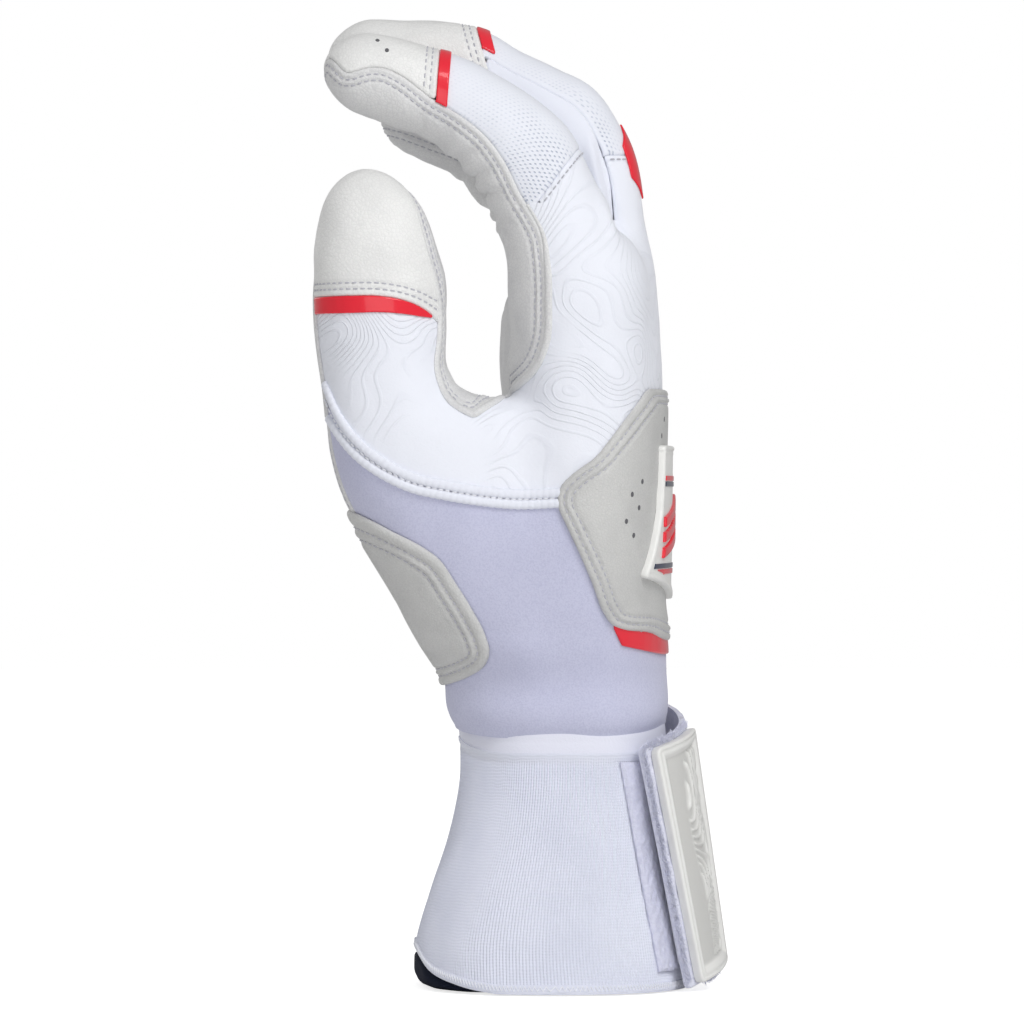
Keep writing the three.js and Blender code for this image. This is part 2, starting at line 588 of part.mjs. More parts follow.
function cuffForm(grow, low, high) {
  const levels = [low, ...CUFF_SHARES.map((row) => row.up).filter((up) => up > low && up < high), high];
  return loft(
    levels.map((share) => {
      const ring = [];
      for (let s = 0; s < CUFF_SIDES; s++) ring.push(cuffAt(share, (FULL_TURN * (s + 0.5)) / CUFF_SIDES, grow));
      return ring;
    }),
  );
}

const cuffWall = (outer, inner) => cuffForm(outer, 0, 1).subtract(cuffForm(inner, -1, 2));

function slitCutter() {
  const side = SLIT.width / 2;
  return block(0, FAR, SLIT.y - side, SLIT.y + side, -OVERRUN, CUFF_HEIGHT - BAND_HEIGHT - SEAM_GAP / 2);
}

function aboveHem(rise) {
  const edge = HEM_SHARES.map(([x, up]) => [x * CUFF_DEPTH, up * CUFF_HEIGHT + rise]);
  return prism([...edge, [edge[edge.length - 1][0], FAR], [edge[0][0], FAR]], -CUFF_BREADTH, CUFF_BREADTH);
}

const LOOP_THICKNESS = 0.9;
// The loop pile's front edge on the thumb side, as shares of CUFF_DEPTH and CUFF_HEIGHT
const LOOP_SHARES = [[0.436, 0.08], [0.294, 0.915], [1, 0.915], [1, 0.08]];

function makeCuff() {
  const wall = cuffWall(0, -CUFF_WALL);
  const bandFoot = CUFF_HEIGHT - BAND_HEIGHT;
  const band = wall.intersect(aboveLevel(bandFoot + SEAM_GAP / 2));
  const slit = slitCutter();
  const body = wall
    .intersect(aboveHem(HEM_HEIGHT + SEAM_GAP))
    .subtract(aboveLevel(bandFoot - SEAM_GAP / 2))
    .subtract(slit);
  const hem = cuffWall(HEM_BULGE, -CUFF_WALL).intersect(aboveHem(0)).subtract(aboveHem(HEM_HEIGHT)).subtract(slit);
  const liningOuter = -CUFF_WALL - LAYER_GAP;
  const lining = cuffWall(liningOuter, liningOuter - LINING).subtract(aboveLevel(bandFoot)).subtract(slit);
  const loopOutline = LOOP_SHARES.map(([x, up]) => [x * CUFF_DEPTH, up * CUFF_HEIGHT]);
  const loop = cuffWall(LAYER_GAP + LOOP_THICKNESS, LAYER_GAP)
    .intersect(prism(loopOutline, -CUFF_BREADTH, 0))
    .subtract(slit);
  return { band, body, hem, lining, loop };
}

// The strap: sewn to the far side of the cuff, round the back of the wrist, and closed on the loop pile

const STRAP = {
  thickness: 1.4,
  height: 53.2,
  anchorAngle: 1.12,
  rootAngle: 0.74,
  bendAngle: -0.06,
  endAngle: -0.97,
  bowLow: 3.4, // how far the strap bows out behind the wrist, at its lower edge
  bowHigh: 0.4,
  endDrop: 9.5,
  foot: 0.3,
  leanShare: 0.42, // how much of its angle the free end's lower edge loses, so that the end stands upright
};
const STRAP_GAPS = 3 * LAYER_GAP; // under the pile, between pile and hooks, and between hooks and strap
const HOOK_RAMP_SHARE = 0.25; // of the strap's free length, in which it makes room for the hooks
const WRIST_RADIUS_SHARE = 0.42; // the wrist's radius under the strap, of CUFF_BREADTH
const WRIST_RADIUS = WRIST_RADIUS_SHARE * CUFF_BREADTH; // turns a length along the strap into an angle
const TAB = { thickness: 2, startAngle: -0.14, endAngle: -0.88, margin: 0.8, rim: 1.6, rimRise: 0.7 };
const HOOK = { thickness: 0.7, startAngle: -0.3, endAngle: -0.92, margin: 4 };

// How far along the strap's free length an angle lies
function strapShare(angle) {
  return Math.min(1, Math.max(0, (STRAP.rootAngle - angle) / (STRAP.rootAngle - STRAP.endAngle)));
}

// How far the strap's inner face lies from the cuff: room for the pile and the hooks, and its bow between its ends
function strapStandOff(angle, bow) {
  const free = strapShare(angle);
  const seat = LOOP_THICKNESS + HOOK.thickness * Math.min(1, free / HOOK_RAMP_SHARE);
  return STRAP_GAPS + seat + bow * Math.sin(free * Math.PI);
}

// The strap's lower edge: level round the far side, and down towards the free end
function strapFoot(angle) {
  return STRAP.foot + STRAP.endDrop * (1 - strapShare(angle));
}

// A point round the wrist at a height, above the cuff too
function wristAt(z, angle, grow) {
  if (z <= CUFF_HEIGHT) return cuffAt(z / CUFF_HEIGHT, angle, grow);
  const up = (z - CUFF_HEIGHT) / HAND_LENGTH;
  const read = (key) => along(PALM_SHARES.map((row) => [row.up, row[key]]), up);
  const [x, y] = superellipse(angle, read("halfDepth") * PALM_DEPTH + grow, read("halfBreadth") * PALM_BREADTH + grow);
  return new THREE.Vector3(read("middle") * PALM_DEPTH + x, y, z);
}

// The strap is straight between its lower and its upper edge, so it spans the cuff's waist.
function strapPoint(angle, height, out) {
  const foot = strapFoot(angle);
  const lowAngle = angle < 0 ? angle * (1 - STRAP.leanShare) : angle;
  const low = wristAt(foot, lowAngle, strapStandOff(angle, STRAP.bowLow) + out);
  const high = wristAt(foot + STRAP.height, angle, strapStandOff(angle, STRAP.bowHigh) + out);
  return low.lerp(high, height / STRAP.height);
}

const STRAP_STEP = 0.14; // radians between the strap's rings

// A curved plate along the strap, from angle a down to b and between two heights, from out0 to out1 off its inner face
function strapPlate(a, b, low, high, out0, out1) {
  const angles = [a];
  for (let i = Math.ceil(a / STRAP_STEP) - 1; i * STRAP_STEP > b; i--) angles.push(i * STRAP_STEP);
  angles.push(b);
  const corners = [[low, out0], [high, out0], [high, out1], [low, out1]];
  return loft(angles.map((angle) => corners.map(([height, out]) => strapPoint(angle, height, out))));
}

function makeStrap() {
  const { thickness, height, anchorAngle, rootAngle, bendAngle, endAngle } = STRAP;
  const gap = LAYER_GAP / WRIST_RADIUS;
  const anchor = strapPlate(anchorAngle, rootAngle + gap, 0, height, -LOOP_THICKNESS - LAYER_GAP, thickness);
  const root = strapPlate(rootAngle - gap, bendAngle + gap, 0, height, 0, thickness);
  const end = strapPlate(bendAngle - gap, endAngle, 0, height, 0, thickness);
  const tabFoot = TAB.margin;
  const tabHead = height - TAB.margin;
  const tabLow = thickness + LAYER_GAP;
  const tabHigh = tabLow + TAB.thickness;
  const tab = strapPlate(TAB.startAngle, TAB.endAngle, tabFoot, tabHead, tabLow, tabHigh);
  const recess = strapPlate(
    TAB.startAngle - TAB.rim / WRIST_RADIUS,
    TAB.endAngle + TAB.rim / WRIST_RADIUS,
    tabFoot + TAB.rim,
    tabHead - TAB.rim,
    tabHigh - TAB.rimRise,
    tabHigh + TAB.thickness,
  );
  const hook = strapPlate(
    HOOK.startAngle,
    HOOK.endAngle,
    HOOK.margin,
    height - HOOK.margin,
    -LAYER_GAP - HOOK.thickness,
    -LAYER_GAP,
  );
  return { anchor, root, end, tab: tab.subtract(recess), hook };
}

// Finger panels. Angles are measured from the back of the stall, positive towards the little finger.

const BACK_EDGE = 1.08; // the back's edge where a gusset runs beside it
const PALM_EDGE = 1.92; // the palm leather's edge
const KNUCKLE_SEAM_SLOPE = 0.45;
const TRIM_WIDTH = 3;
const KNUCKLE_TRIM = { footShare: 0.08, headShare: 0.26, edgeAngle: 0.42 };

// The red chevron over the knuckle, cut from the layer that the trims share
function knuckleTrim(finger, skin) {
  const { footShare, headShare, edgeAngle } = KNUCKLE_TRIM;
  return skin
    .intersect(sector(finger, -edgeAngle, edgeAngle))
    .intersect(rootSide(finger, headShare, 0))
    .subtract(rootSide(finger, footShare, 0))
    .subtract(fingerBarrel(finger, JOINT_GAP));
}

function makeFinger(name) {
  const finger = FINGERS[name];
  const { seamShare, capShare, capSlope } = finger;
  const shell = fingerForm(finger, 0, 0)
    .subtract(fingerForm(finger, -SKIN, ROOT_RUN))
    .subtract(fingerBarrel(finger, 0));
  const near = name === "index" ? -PALM_EDGE : -BACK_EDGE;
  const far = name === "little" ? PALM_EDGE : BACK_EDGE;
  const backside = shell.intersect(sector(finger, near, far));
  const underCap = rootSide(finger, capShare, -SEAM_GAP / 2, capSlope);
  const overCap = rootSide(finger, capShare, SEAM_GAP / 2, capSlope);
  const underTrim = rootSide(finger, capShare, -TRIM_WIDTH, capSlope);
  const underSeam = rootSide(finger, seamShare, -SEAM_GAP / 2, KNUCKLE_SEAM_SLOPE);
  const overSeam = rootSide(finger, seamShare, SEAM_GAP / 2, KNUCKLE_SEAM_SLOPE);
  const knit = backside.intersect(underCap).subtract(overSeam);
  const tip = shell.intersect(sector(finger, -PALM_EDGE, PALM_EDGE)).subtract(overCap);
  const skin = fingerForm(finger, LAYER_GAP + TRIM, 0).subtract(fingerForm(finger, LAYER_GAP, ROOT_RUN));
  const trim = skin.intersect(sector(finger, near, far)).intersect(underCap).subtract(underTrim);
  const palm = shell.intersect(sector(finger, PALM_EDGE, FULL_TURN - PALM_EDGE));
  const pieces = [
    mesh(name + "_palm_leather", palm, "palmLeather", "leather"),
    mesh(name + "_knuckle_panel", backside.intersect(underSeam), "embossed", "cloth"),
    mesh(name + "_back_mesh", knit, "mesh", "cloth"),
    mesh(name + "_tip_cap", tip, "tipLeather", "leather"),
    mesh(name + "_trim", trim, "red", "gloss"),
  ];
  const gusset = (a, b) => shell.intersect(sector(finger, a, b)).intersect(underCap);
  if (name !== "index") pieces.push(mesh(name + "_gusset_near", gusset(-PALM_EDGE, -BACK_EDGE), "knit", "cloth"));
  if (name !== "little") pieces.push(mesh(name + "_gusset_far", gusset(BACK_EDGE, PALM_EDGE), "knit", "cloth"));
  if (name === "middle" || name === "ring") {
    pieces.push(mesh(name + "_knuckle_trim", knuckleTrim(finger, skin), "red", "gloss"));
  }
  return pieces;
}

// Thumb panels: the seam runs up both edges of the stall, so its back faces -Y and its palm side +Y.

const THUMB_TRIM_HEIGHT = 3.7;

function makeThumb() {
  const shell = thumbForm(0).subtract(thumbForm(-SKIN)).subtract(thumbBarrel(0)).intersect(aboveLevel(THUMB_HINGE.z));
  const skin = thumbForm(LAYER_GAP + TRIM).subtract(thumbForm(LAYER_GAP));
  const capFoot = CUFF_HEIGHT + THUMB.capUp;
  const palmHalf = block(-FAR, FAR, THUMB_SEAM_Y, FAR, 0, FAR);
  const backHalf = (zLow, zHigh) => block(-FAR, FAR, -FAR, THUMB_SEAM_Y - SEAM_GAP, zLow, zHigh);
  return [
    mesh("thumb_palm_leather", shell.intersect(palmHalf), "palmLeather", "leather"),
    mesh("thumb_back", shell.intersect(backHalf(0, capFoot - SEAM_GAP / 2)), "embossed", "cloth"),
    mesh("thumb_tip_cap", shell.intersect(backHalf(capFoot + SEAM_GAP / 2, FAR)), "tipLeather", "leather"),
    mesh("thumb_trim", skin.intersect(backHalf(capFoot - THUMB_TRIM_HEIGHT, capFoot)), "red", "gloss"),
  ];
}

// The assembly

const glove = new THREE.Group();
const hand = makeHand();
const layers = makeHandLayers();
const cuff = makeCuff();
const strap = makeStrap();
glove.add(
  mesh("palm_leather", hand.palm, "palmLeather", "leather"),
  mesh("back_panel", hand.back, "embossed", "cloth"),
  mesh("wrist_panel", hand.wrist, "neoprene", "cloth"),
  mesh("heel_patch", layers.heel, "patchLeather", "leather"),
  mesh("back_patch", layers.backPatch, "patchLeather", "leather"),
  mesh("wrist_trim", layers.trim, "red", "gloss"),
  mesh("badge", layers.badge, "rubber", "rubber"),
  mesh("back_seam_welt", layers.welt, "embossed", "cloth"),
  mesh("crotch_binding", layers.binding, "palmLeather", "leather"),
  mesh("cuff_top_band", cuff.band, "knit", "cloth"),
  mesh("cuff_elastic", cuff.body, "knit", "cloth"),
  mesh("cuff_hem", cuff.hem, "knit", "cloth"),
  mesh("cuff_lining", cuff.lining, "navy", "cloth"),
  mesh("loop_pile", cuff.loop, "velour", "cloth"),
  mesh("strap_anchor", strap.anchor, "velour", "cloth"),
  mesh("strap_root", strap.root, "velour", "cloth"),
  mesh("strap_end", strap.end, "velour", "cloth"),
  mesh("pull_tab", strap.tab, "rubber", "rubber"),
  mesh("hook_pad", strap.hook, "hook", "cloth"),
  ...Object.keys(FINGERS).flatMap(makeFinger),
  ...makeThumb(),
);

const box = new THREE.Box3().setFromObject(glove);
const centre = box.getCenter(new THREE.Vector3());
glove.position.set(-centre.x, -centre.y, -box.min.z);

export default glove;
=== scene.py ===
"""A right-hand batting glove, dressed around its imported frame.
The hand's surface is one smooth form, made as a field in millimetres in the drawing frame of the part.
It is cut into the sewn panels; cuff, strap and badge are built on top. SHIFT moves the drawing frame to the
packed one."""
import math

import bpy
import numpy as np
import openvdb
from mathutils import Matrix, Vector


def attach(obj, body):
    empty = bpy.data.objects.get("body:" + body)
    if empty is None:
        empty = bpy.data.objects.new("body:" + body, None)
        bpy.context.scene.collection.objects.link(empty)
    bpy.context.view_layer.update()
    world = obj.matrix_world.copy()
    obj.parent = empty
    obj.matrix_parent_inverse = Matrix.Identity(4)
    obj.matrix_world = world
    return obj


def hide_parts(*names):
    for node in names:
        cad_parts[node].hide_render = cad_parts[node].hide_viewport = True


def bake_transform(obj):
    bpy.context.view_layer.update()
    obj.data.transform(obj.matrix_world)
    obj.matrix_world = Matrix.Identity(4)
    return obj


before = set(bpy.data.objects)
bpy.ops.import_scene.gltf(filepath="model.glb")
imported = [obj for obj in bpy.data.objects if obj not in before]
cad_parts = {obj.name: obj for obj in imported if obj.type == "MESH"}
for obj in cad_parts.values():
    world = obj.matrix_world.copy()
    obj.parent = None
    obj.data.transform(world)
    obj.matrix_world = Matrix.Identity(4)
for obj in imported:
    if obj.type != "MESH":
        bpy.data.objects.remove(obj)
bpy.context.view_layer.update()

MM = 0.001
SHIFT = np.array([3.82996, 1.4391, 0.0])
VOXEL = 0.75

# Sizes of the part, in millimetres
CUFF_HEIGHT, HAND_LENGTH, PALM_DEPTH, PALM_BREADTH = 54.8, 108.0, 46.0, 86.0
CUFF_DEPTH, CUFF_BREADTH = 60.6, 74.0
THUMB_DEPTH, THUMB_BREADTH, THUMB_LENGTH = 14.6, 12.2, 53.2
KNUCKLE_SLOPE, CREASE_SLOPE, SQUARENESS = 0.124, 0.3, 2.5
KNUCKLE_TILT = math.hypot(1, KNUCKLE_SLOPE)

# How widely the parts of the hand melt into each other, and half the slit between two fingers
MELT_PALM_TOP, MELT_THUMB, MELT_WEB, MELT_FINGERS = 9.0, 7.0, 9.0, 7.0
HALF_SLIT = 0.6
GRID_LOW, GRID_HIGH = np.array([-58.0, -53.0, 52.0]), np.array([46.0, 47.0, 217.0])  # round the hand


def metres(points):
    return (np.asarray(points, float) + SHIFT) * MM


# ---------------------------------------------------------------- smooth tables and blends

def hermite(knots, values, at):
    """Smooth values through rows of values at the knots; flat past both ends."""
    knots, values, at = (np.asarray(v, float) for v in (knots, values, at))
    slopes = np.gradient(values, knots, axis=0)
    i = np.clip(np.searchsorted(knots, at) - 1, 0, len(knots) - 2)
    span = knots[i + 1] - knots[i]
    t = np.clip((at - knots[i]) / span, 0, 1)
    if values.ndim > 1:
        t, span = t[..., None], span[..., None]
    t2, t3 = t * t, t * t * t
    return ((2 * t3 - 3 * t2 + 1) * values[i] + (t3 - 2 * t2 + t) * span * slopes[i]
            + (3 * t2 - 2 * t3) * values[i + 1] + (t3 - t2) * span * slopes[i + 1])


def run_of(points):
    return np.r_[0, np.cumsum(np.linalg.norm(np.diff(points, axis=0), axis=1))]


def even(points, step):
    """The same line with its points this far apart."""
    run = run_of(points[:, :3])
    at = np.linspace(0, run[-1], max(2, int(round(run[-1] / step)) + 1))
    return np.column_stack([np.interp(at, run, points[:, k]) for k in range(points.shape[1])])


def smooth_line(points, step=0.6):
    """Points along a smooth curve through these points, step apart."""
    points = np.asarray(points, float)
    chord = run_of(points)
    return even(hermite(chord, points, np.linspace(0, chord[-1], 40 * len(points))), step)


def step_up(x, low, high):
    t = np.clip((x - low) / (high - low), 0, 1)
    return t * t * (3 - 2 * t)


def hump(x, middle, width):
    return np.exp(-((x - middle) / width) ** 2)


def smin(a, b, k):
    h = np.clip(0.5 + 0.5 * (b - a) / k, 0, 1)
    return b * (1 - h) + a * h - k * h * (1 - h)


def smax(a, b, k):
    return -smin(-a, -b, k)


def unit(v):
    return v / np.maximum(np.linalg.norm(v, axis=-1, keepdims=True), 1e-9)


def waves(points, size, seed):
    """Gentle irregular waves of about this length, from -1 to 1."""
    rng = np.random.default_rng(seed)
    ways = unit(rng.normal(size=(9, 3))) * (2 * math.pi / size) * rng.uniform(0.6, 1.5, (9, 1))
    return np.sin(points @ ways.T + rng.uniform(0, 6.3, 9)).sum(1) / 4.5


# ---------------------------------------------------------------- the hand's form

PALM = np.array([
    (0, .109, .496, .343), (.083, .1, .509, .36), (.174, .12, .487, .395), (.284, .139, .439, .442),
    (.394, .172, .409, .477), (.505, .192, .391, .494), (.615, .2, .385, .5), (.725, .204, .384, .5),
    (.835, .196, .378, .5), (.927, .183, .357, .494), (1, .17, .339, .488)])


def palm_field(p):
    x, y, z = p.T
    up = np.clip((z - CUFF_HEIGHT) / HAND_LENGTH, 0, 1.25)
    for _ in range(4):
        middle, hd, hb = hermite(PALM[:, 0], PALM[:, 1:], up).T
        drop = KNUCKLE_SLOPE * y + CREASE_SLOPE * (hd * PALM_DEPTH - (x - middle * PALM_DEPTH))
        off = up - (z - CUFF_HEIGHT + up ** 4 * drop) / HAND_LENGTH
        up = np.clip(up - off / np.maximum(1 - 4 * up ** 3 * drop / HAND_LENGTH, 0.3), 0, 1.25)
    a, b = hd * PALM_DEPTH, hb * PALM_BREADTH
    u, v = np.abs((x - middle * PALM_DEPTH) / a), np.abs(y / b)
    k = np.maximum((u ** SQUARENESS + v ** SQUARENESS) ** (1 / SQUARENESS), 1e-6)
    gx = (u / k) ** (SQUARENESS - 1) / a
    gy = (v / k) ** (SQUARENESS - 1) / b
    return smax((k - 1) / np.hypot(gx, gy), (up - 1) * HAND_LENGTH, MELT_PALM_TOP)


class Tube:
    """A tube along a curve in the XZ plane. Rows: x, z, y, half depth, half breadth."""
    LOW, CELL, CELLS = np.array([-75.0, 35.0]), 0.7, (200, 290)

    def __init__(self, rows, dome, run):
        self.dome, self.run = dome, run
        line = np.asarray(rows, float)
        chord = run_of(line[:, :2])
        fine = hermite(chord, line, np.linspace(0, chord[-1], 800))
        s = run_of(fine[:, :2])
        self.length = s[-1]
        self.at = np.linspace(0, s[-1], int(s[-1] / 0.35) + 1)
        self.rows = np.column_stack([np.interp(self.at, s, fine[:, k]) for k in range(5)])
        self.tangent = unit(np.gradient(self.rows[:, :2], self.at, axis=0))
        gx, gz = np.meshgrid(*(self.LOW[k] + self.CELL * (np.arange(self.CELLS[k]) + 0.5) for k in (0, 1)),
                             indexing="ij")
        far = (gx[..., None] - self.rows[:, 0]) ** 2 + (gz[..., None] - self.rows[:, 1]) ** 2
        self.nearest = far.argmin(-1)

    def coords(self, p):
        """Length along, distance towards the back, distance towards +Y, half depth, half breadth."""
        i = np.clip(((p[:, 0] - self.LOW[0]) / self.CELL).astype(int), 0, self.CELLS[0] - 1)
        j = np.clip(((p[:, 2] - self.LOW[1]) / self.CELL).astype(int), 0, self.CELLS[1] - 1)
        n = self.nearest[i, j]
        dx, dz = p[:, 0] - self.rows[n, 0], p[:, 2] - self.rows[n, 1]
        tx, tz = self.tangent[n].T
        s = self.at[n] + dx * tx + dz * tz
        y, a, b = (np.interp(s, self.at, self.rows[:, k]) for k in (2, 3, 4))
        return s, dx * tz - dz * tx, p[:, 1] - y, a, b

    def past(self, s, p):
        """How far points lie beyond the plane across the tube at this length."""
        x, z, tx, tz = (np.interp(s, self.at, line) for line in (*self.rows[:, :2].T, *self.tangent.T))
        return (p[:, 0] - x) * tx + (p[:, 2] - z) * tz

    def field(self, p):
        s, n, w, a, b = self.coords(p)
        over = np.maximum(s - (self.length - self.dome), 0)
        under = np.maximum(-self.run - s, 0)
        k0 = np.sqrt((n / a) ** 2 + (w / b) ** 2 + (over / self.dome) ** 2 + (under / 8) ** 2)
        k1 = np.sqrt((n / a ** 2) ** 2 + (w / b ** 2) ** 2 + (over / self.dome ** 2) ** 2 + (under / 64) ** 2)
        return np.where(k1 < 1e-5, -np.minimum(a, b), k0 * (k0 - 1) / np.maximum(k1, 1e-5))


INDEX_PATH = [(0, 0), (.028, .1), (.07, .26), (.127, .42), (.213, .56), (.334, .686), (.507, .822),
              (.68, .893), (.845, .959), (1, 1)]
MIDDLE_PATH = [(0, 0), (-.003, .192), (.009, .349), (.054, .52), (.105, .635), (.202, .719), (.346, .827),
               (.457, .916), (.578, .958), (.733, .974), (.888, .988), (1, 1)]
DEPTHS = np.array([(0, 1), (.14, .93), (.26, .93), (.4, .87), (.6, .79), (.8, .73), (1, .64)])
BREADTHS = np.array([(0, 1), (.3, .97), (.6, .9), (.8, .84), (1, .78)])
FINGERS = {
    "index": dict(x=3.6, y=-31.5, reach=50.3, rise=36.8, depth=12.1, breadth=10.2, path=INDEX_PATH, tip=9.0),
    "middle": dict(x=10.9, y=-10.5, reach=57.3, rise=42.6, depth=12.2, breadth=10.2, path=MIDDLE_PATH,
                   tip=9.0),
    "ring": dict(x=9.2, y=10.5, reach=53.5, rise=43.0, depth=11.9, breadth=10.1, path=MIDDLE_PATH, tip=8.6),
    "little": dict(x=5.4, y=30.2, reach=41.0, rise=38.5, depth=11.2, breadth=9.2, path=INDEX_PATH, tip=8.0)}
GAPS = (-21.0, 0.0, 20.35)  # the planes between the fingers
SLAB = {"index": (-70, -21.0), "middle": (-21.0, 0.0), "ring": (0.0, 20.35), "little": (20.35, 70)}


def hinge_z(y):
    return CUFF_HEIGHT + HAND_LENGTH - KNUCKLE_SLOPE * y - 1.7


def finger_tube(f):
    path = smooth_line(np.array(f["path"]) * [f["reach"], f["rise"]], 1.0)
    share = run_of(path) / run_of(path)[-1]
    rows = np.column_stack([
        f["x"] - path[:, 0], hinge_z(f["y"]) + path[:, 1], np.full(len(path), f["y"]),
        f["depth"] * hermite(DEPTHS[:, 0], DEPTHS[:, 1], share),
        f["breadth"] * hermite(BREADTHS[:, 0], BREADTHS[:, 1], share)])
    return Tube(rows, f["tip"], FINGER_RUN)


THUMB_ROOT = [(-.025, -.15, .02, 1.05, .95), (-.11, -.19, .17, 1.14, 1.1), (-.33, -.26, .35, 1.16, 1.25),
              (-.52, -.32, .49, 1.14, 1.27), (-.66, -.36, .6, 1.05, 1.13)]
THUMB_TIP = [(0, 0, 0, 1, 1), (-.137, -.08, .168, .91, .95), (-.185, -.15, .39, .95, .94),
             (-.2, -.19, .516, .965, .92), (-.26, -.21, .64, .92, .87), (-.33, -.22, .77, .88, .84),
             (-.41, -.22, .88, .84, .8), (-.46, -.22, .955, .81, .78), (-.49, -.22, 1, .79, .76)]
THUMB_HINGE = np.array([-31.9, -32.5, CUFF_HEIGHT + 71])
THUMB_DOME, FINGER_RUN = 18.5, 14.0  # length of the thumb's rounded end; how far a finger runs into the palm


def thumb_tube():
    rows = [(x * PALM_DEPTH, CUFF_HEIGHT + up * HAND_LENGTH, y * PALM_BREADTH,
             THUMB_DEPTH * d, THUMB_BREADTH * b) for x, y, up, d, b in THUMB_ROOT]
    hinge_x, hinge_y, hinge_up = THUMB_HINGE
    rows += [(hinge_x + x * THUMB_DEPTH, hinge_up + up * THUMB_LENGTH, hinge_y + y * THUMB_BREADTH,
              THUMB_DEPTH * d, THUMB_BREADTH * b) for x, y, up, d, b in THUMB_TIP]
    return Tube(rows, THUMB_DOME, 0.0)


WEB = np.array([(-.1, -.28, .22, .7, .8), (-.2, -.32, .4, .95, .95), (-.28, -.345, .54, .98, .95),
                (-.33, -.355, .645, .9, .83), (-.34, -.36, .678, .72, .6)])


def web_field(p):
    up = (p[:, 2] - CUFF_HEIGHT) / HAND_LENGTH
    x, y, d, b = hermite(WEB[:, 2], WEB[:, [0, 1, 3, 4]], up).T
    u = (p[:, 0] - x * PALM_DEPTH) / (THUMB_DEPTH * d)
    v = (p[:, 1] - y * PALM_BREADTH) / (THUMB_BREADTH * b)
    past = np.maximum(up - 0.66, 0) * HAND_LENGTH / 3.5 + np.maximum(0.22 - up, 0) * HAND_LENGTH / 8
    k = np.sqrt(u * u + v * v + past * past)
    return (k - 1) * 9.0


THUMB = thumb_tube()
TUBES = {name: finger_tube(f) for name, f in FINGERS.items()}
KNUCKLE_LINE = 165.4  # height of the fingers' crotches at y 0


def knuckle_height(p):
    """Height above the slanted plane through the fingers' crotches."""
    return (p[:, 2] + KNUCKLE_SLOPE * p[:, 1] - KNUCKLE_LINE) / KNUCKLE_TILT


def glove_field(p):
    hand = smin(smin(palm_field(p), THUMB.field(p), MELT_THUMB), web_field(p), MELT_WEB)
    fingers = np.min([tube.field(p) for tube in TUBES.values()], axis=0)
    whole = smin(hand, fingers, MELT_FINGERS)
    gap = np.min([np.abs(p[:, 1] - y) for y in GAPS], axis=0)
    return np.maximum(whole, np.minimum(HALF_SLIT - gap, knuckle_height(p)))


# ---------------------------------------------------------------- surfaces of triangles

def gradient(field, p, eps=0.15):
    corners = np.array([(1, -1, -1), (-1, -1, 1), (-1, 1, -1), (1, 1, 1)], float)
    return sum(c * field(p + eps * c)[:, None] for c in corners) / (4 * eps)


def glove_mesh():
    low, high = GRID_LOW, GRID_HIGH
    blocks = np.ceil((high - low) / (4 * VOXEL)).astype(int)
    index = np.stack(np.meshgrid(*(np.arange(n) for n in blocks), indexing="ij"), -1)
    coarse = glove_field((low + VOXEL * (4 * index + 1.5)).reshape(-1, 3)).reshape(blocks)
    values = coarse.repeat(4, 0).repeat(4, 1).repeat(4, 2).astype(np.float32)
    near = np.argwhere(np.abs(coarse) < 5 * VOXEL)
    inner = np.stack(np.meshgrid(*(np.arange(4),) * 3, indexing="ij"), -1).reshape(-1, 3)
    cells = (near[:, None] * 4 + inner[None]).reshape(-1, 3)
    values[tuple(cells.T)] = glove_field(low + VOXEL * cells)
    grid = openvdb.FloatGrid(4.0)
    grid.copyFromArray(values)
    points, quads = grid.convertToQuads(0.0)
    points = low + VOXEL * points.astype(float)
    for _ in range(2):
        g = gradient(glove_field, points)
        off = np.clip(glove_field(points), -0.5, 0.5) / np.maximum((g * g).sum(1), 0.2)
        points = points - off[:, None] * g
    quads = quads.astype(np.int64)
    one, other = (np.linalg.norm(points[quads[:, i]] - points[quads[:, i + 2]], axis=1) for i in (0, 1))
    q = np.where((one < other)[:, None], quads, np.roll(quads, 1, axis=1))
    return points, np.concatenate([q[:, [0, 1, 2]], q[:, [0, 2, 3]]])


def sides_of(t):
    """The directed sides of every triangle."""
    return np.concatenate([t[:, [0, 1]], t[:, [1, 2]], t[:, [2, 0]]])


def corners_of(points, triangles):
    return (points[triangles[:, k]] for k in range(3))


def vertex_normals(points, triangles):
    a, b, c = corners_of(points, triangles)
    face = np.cross(b - a, c - a)
    out = np.zeros_like(points)
    for k in range(3):
        np.add.at(out, triangles[:, k], face)
    return unit(out)


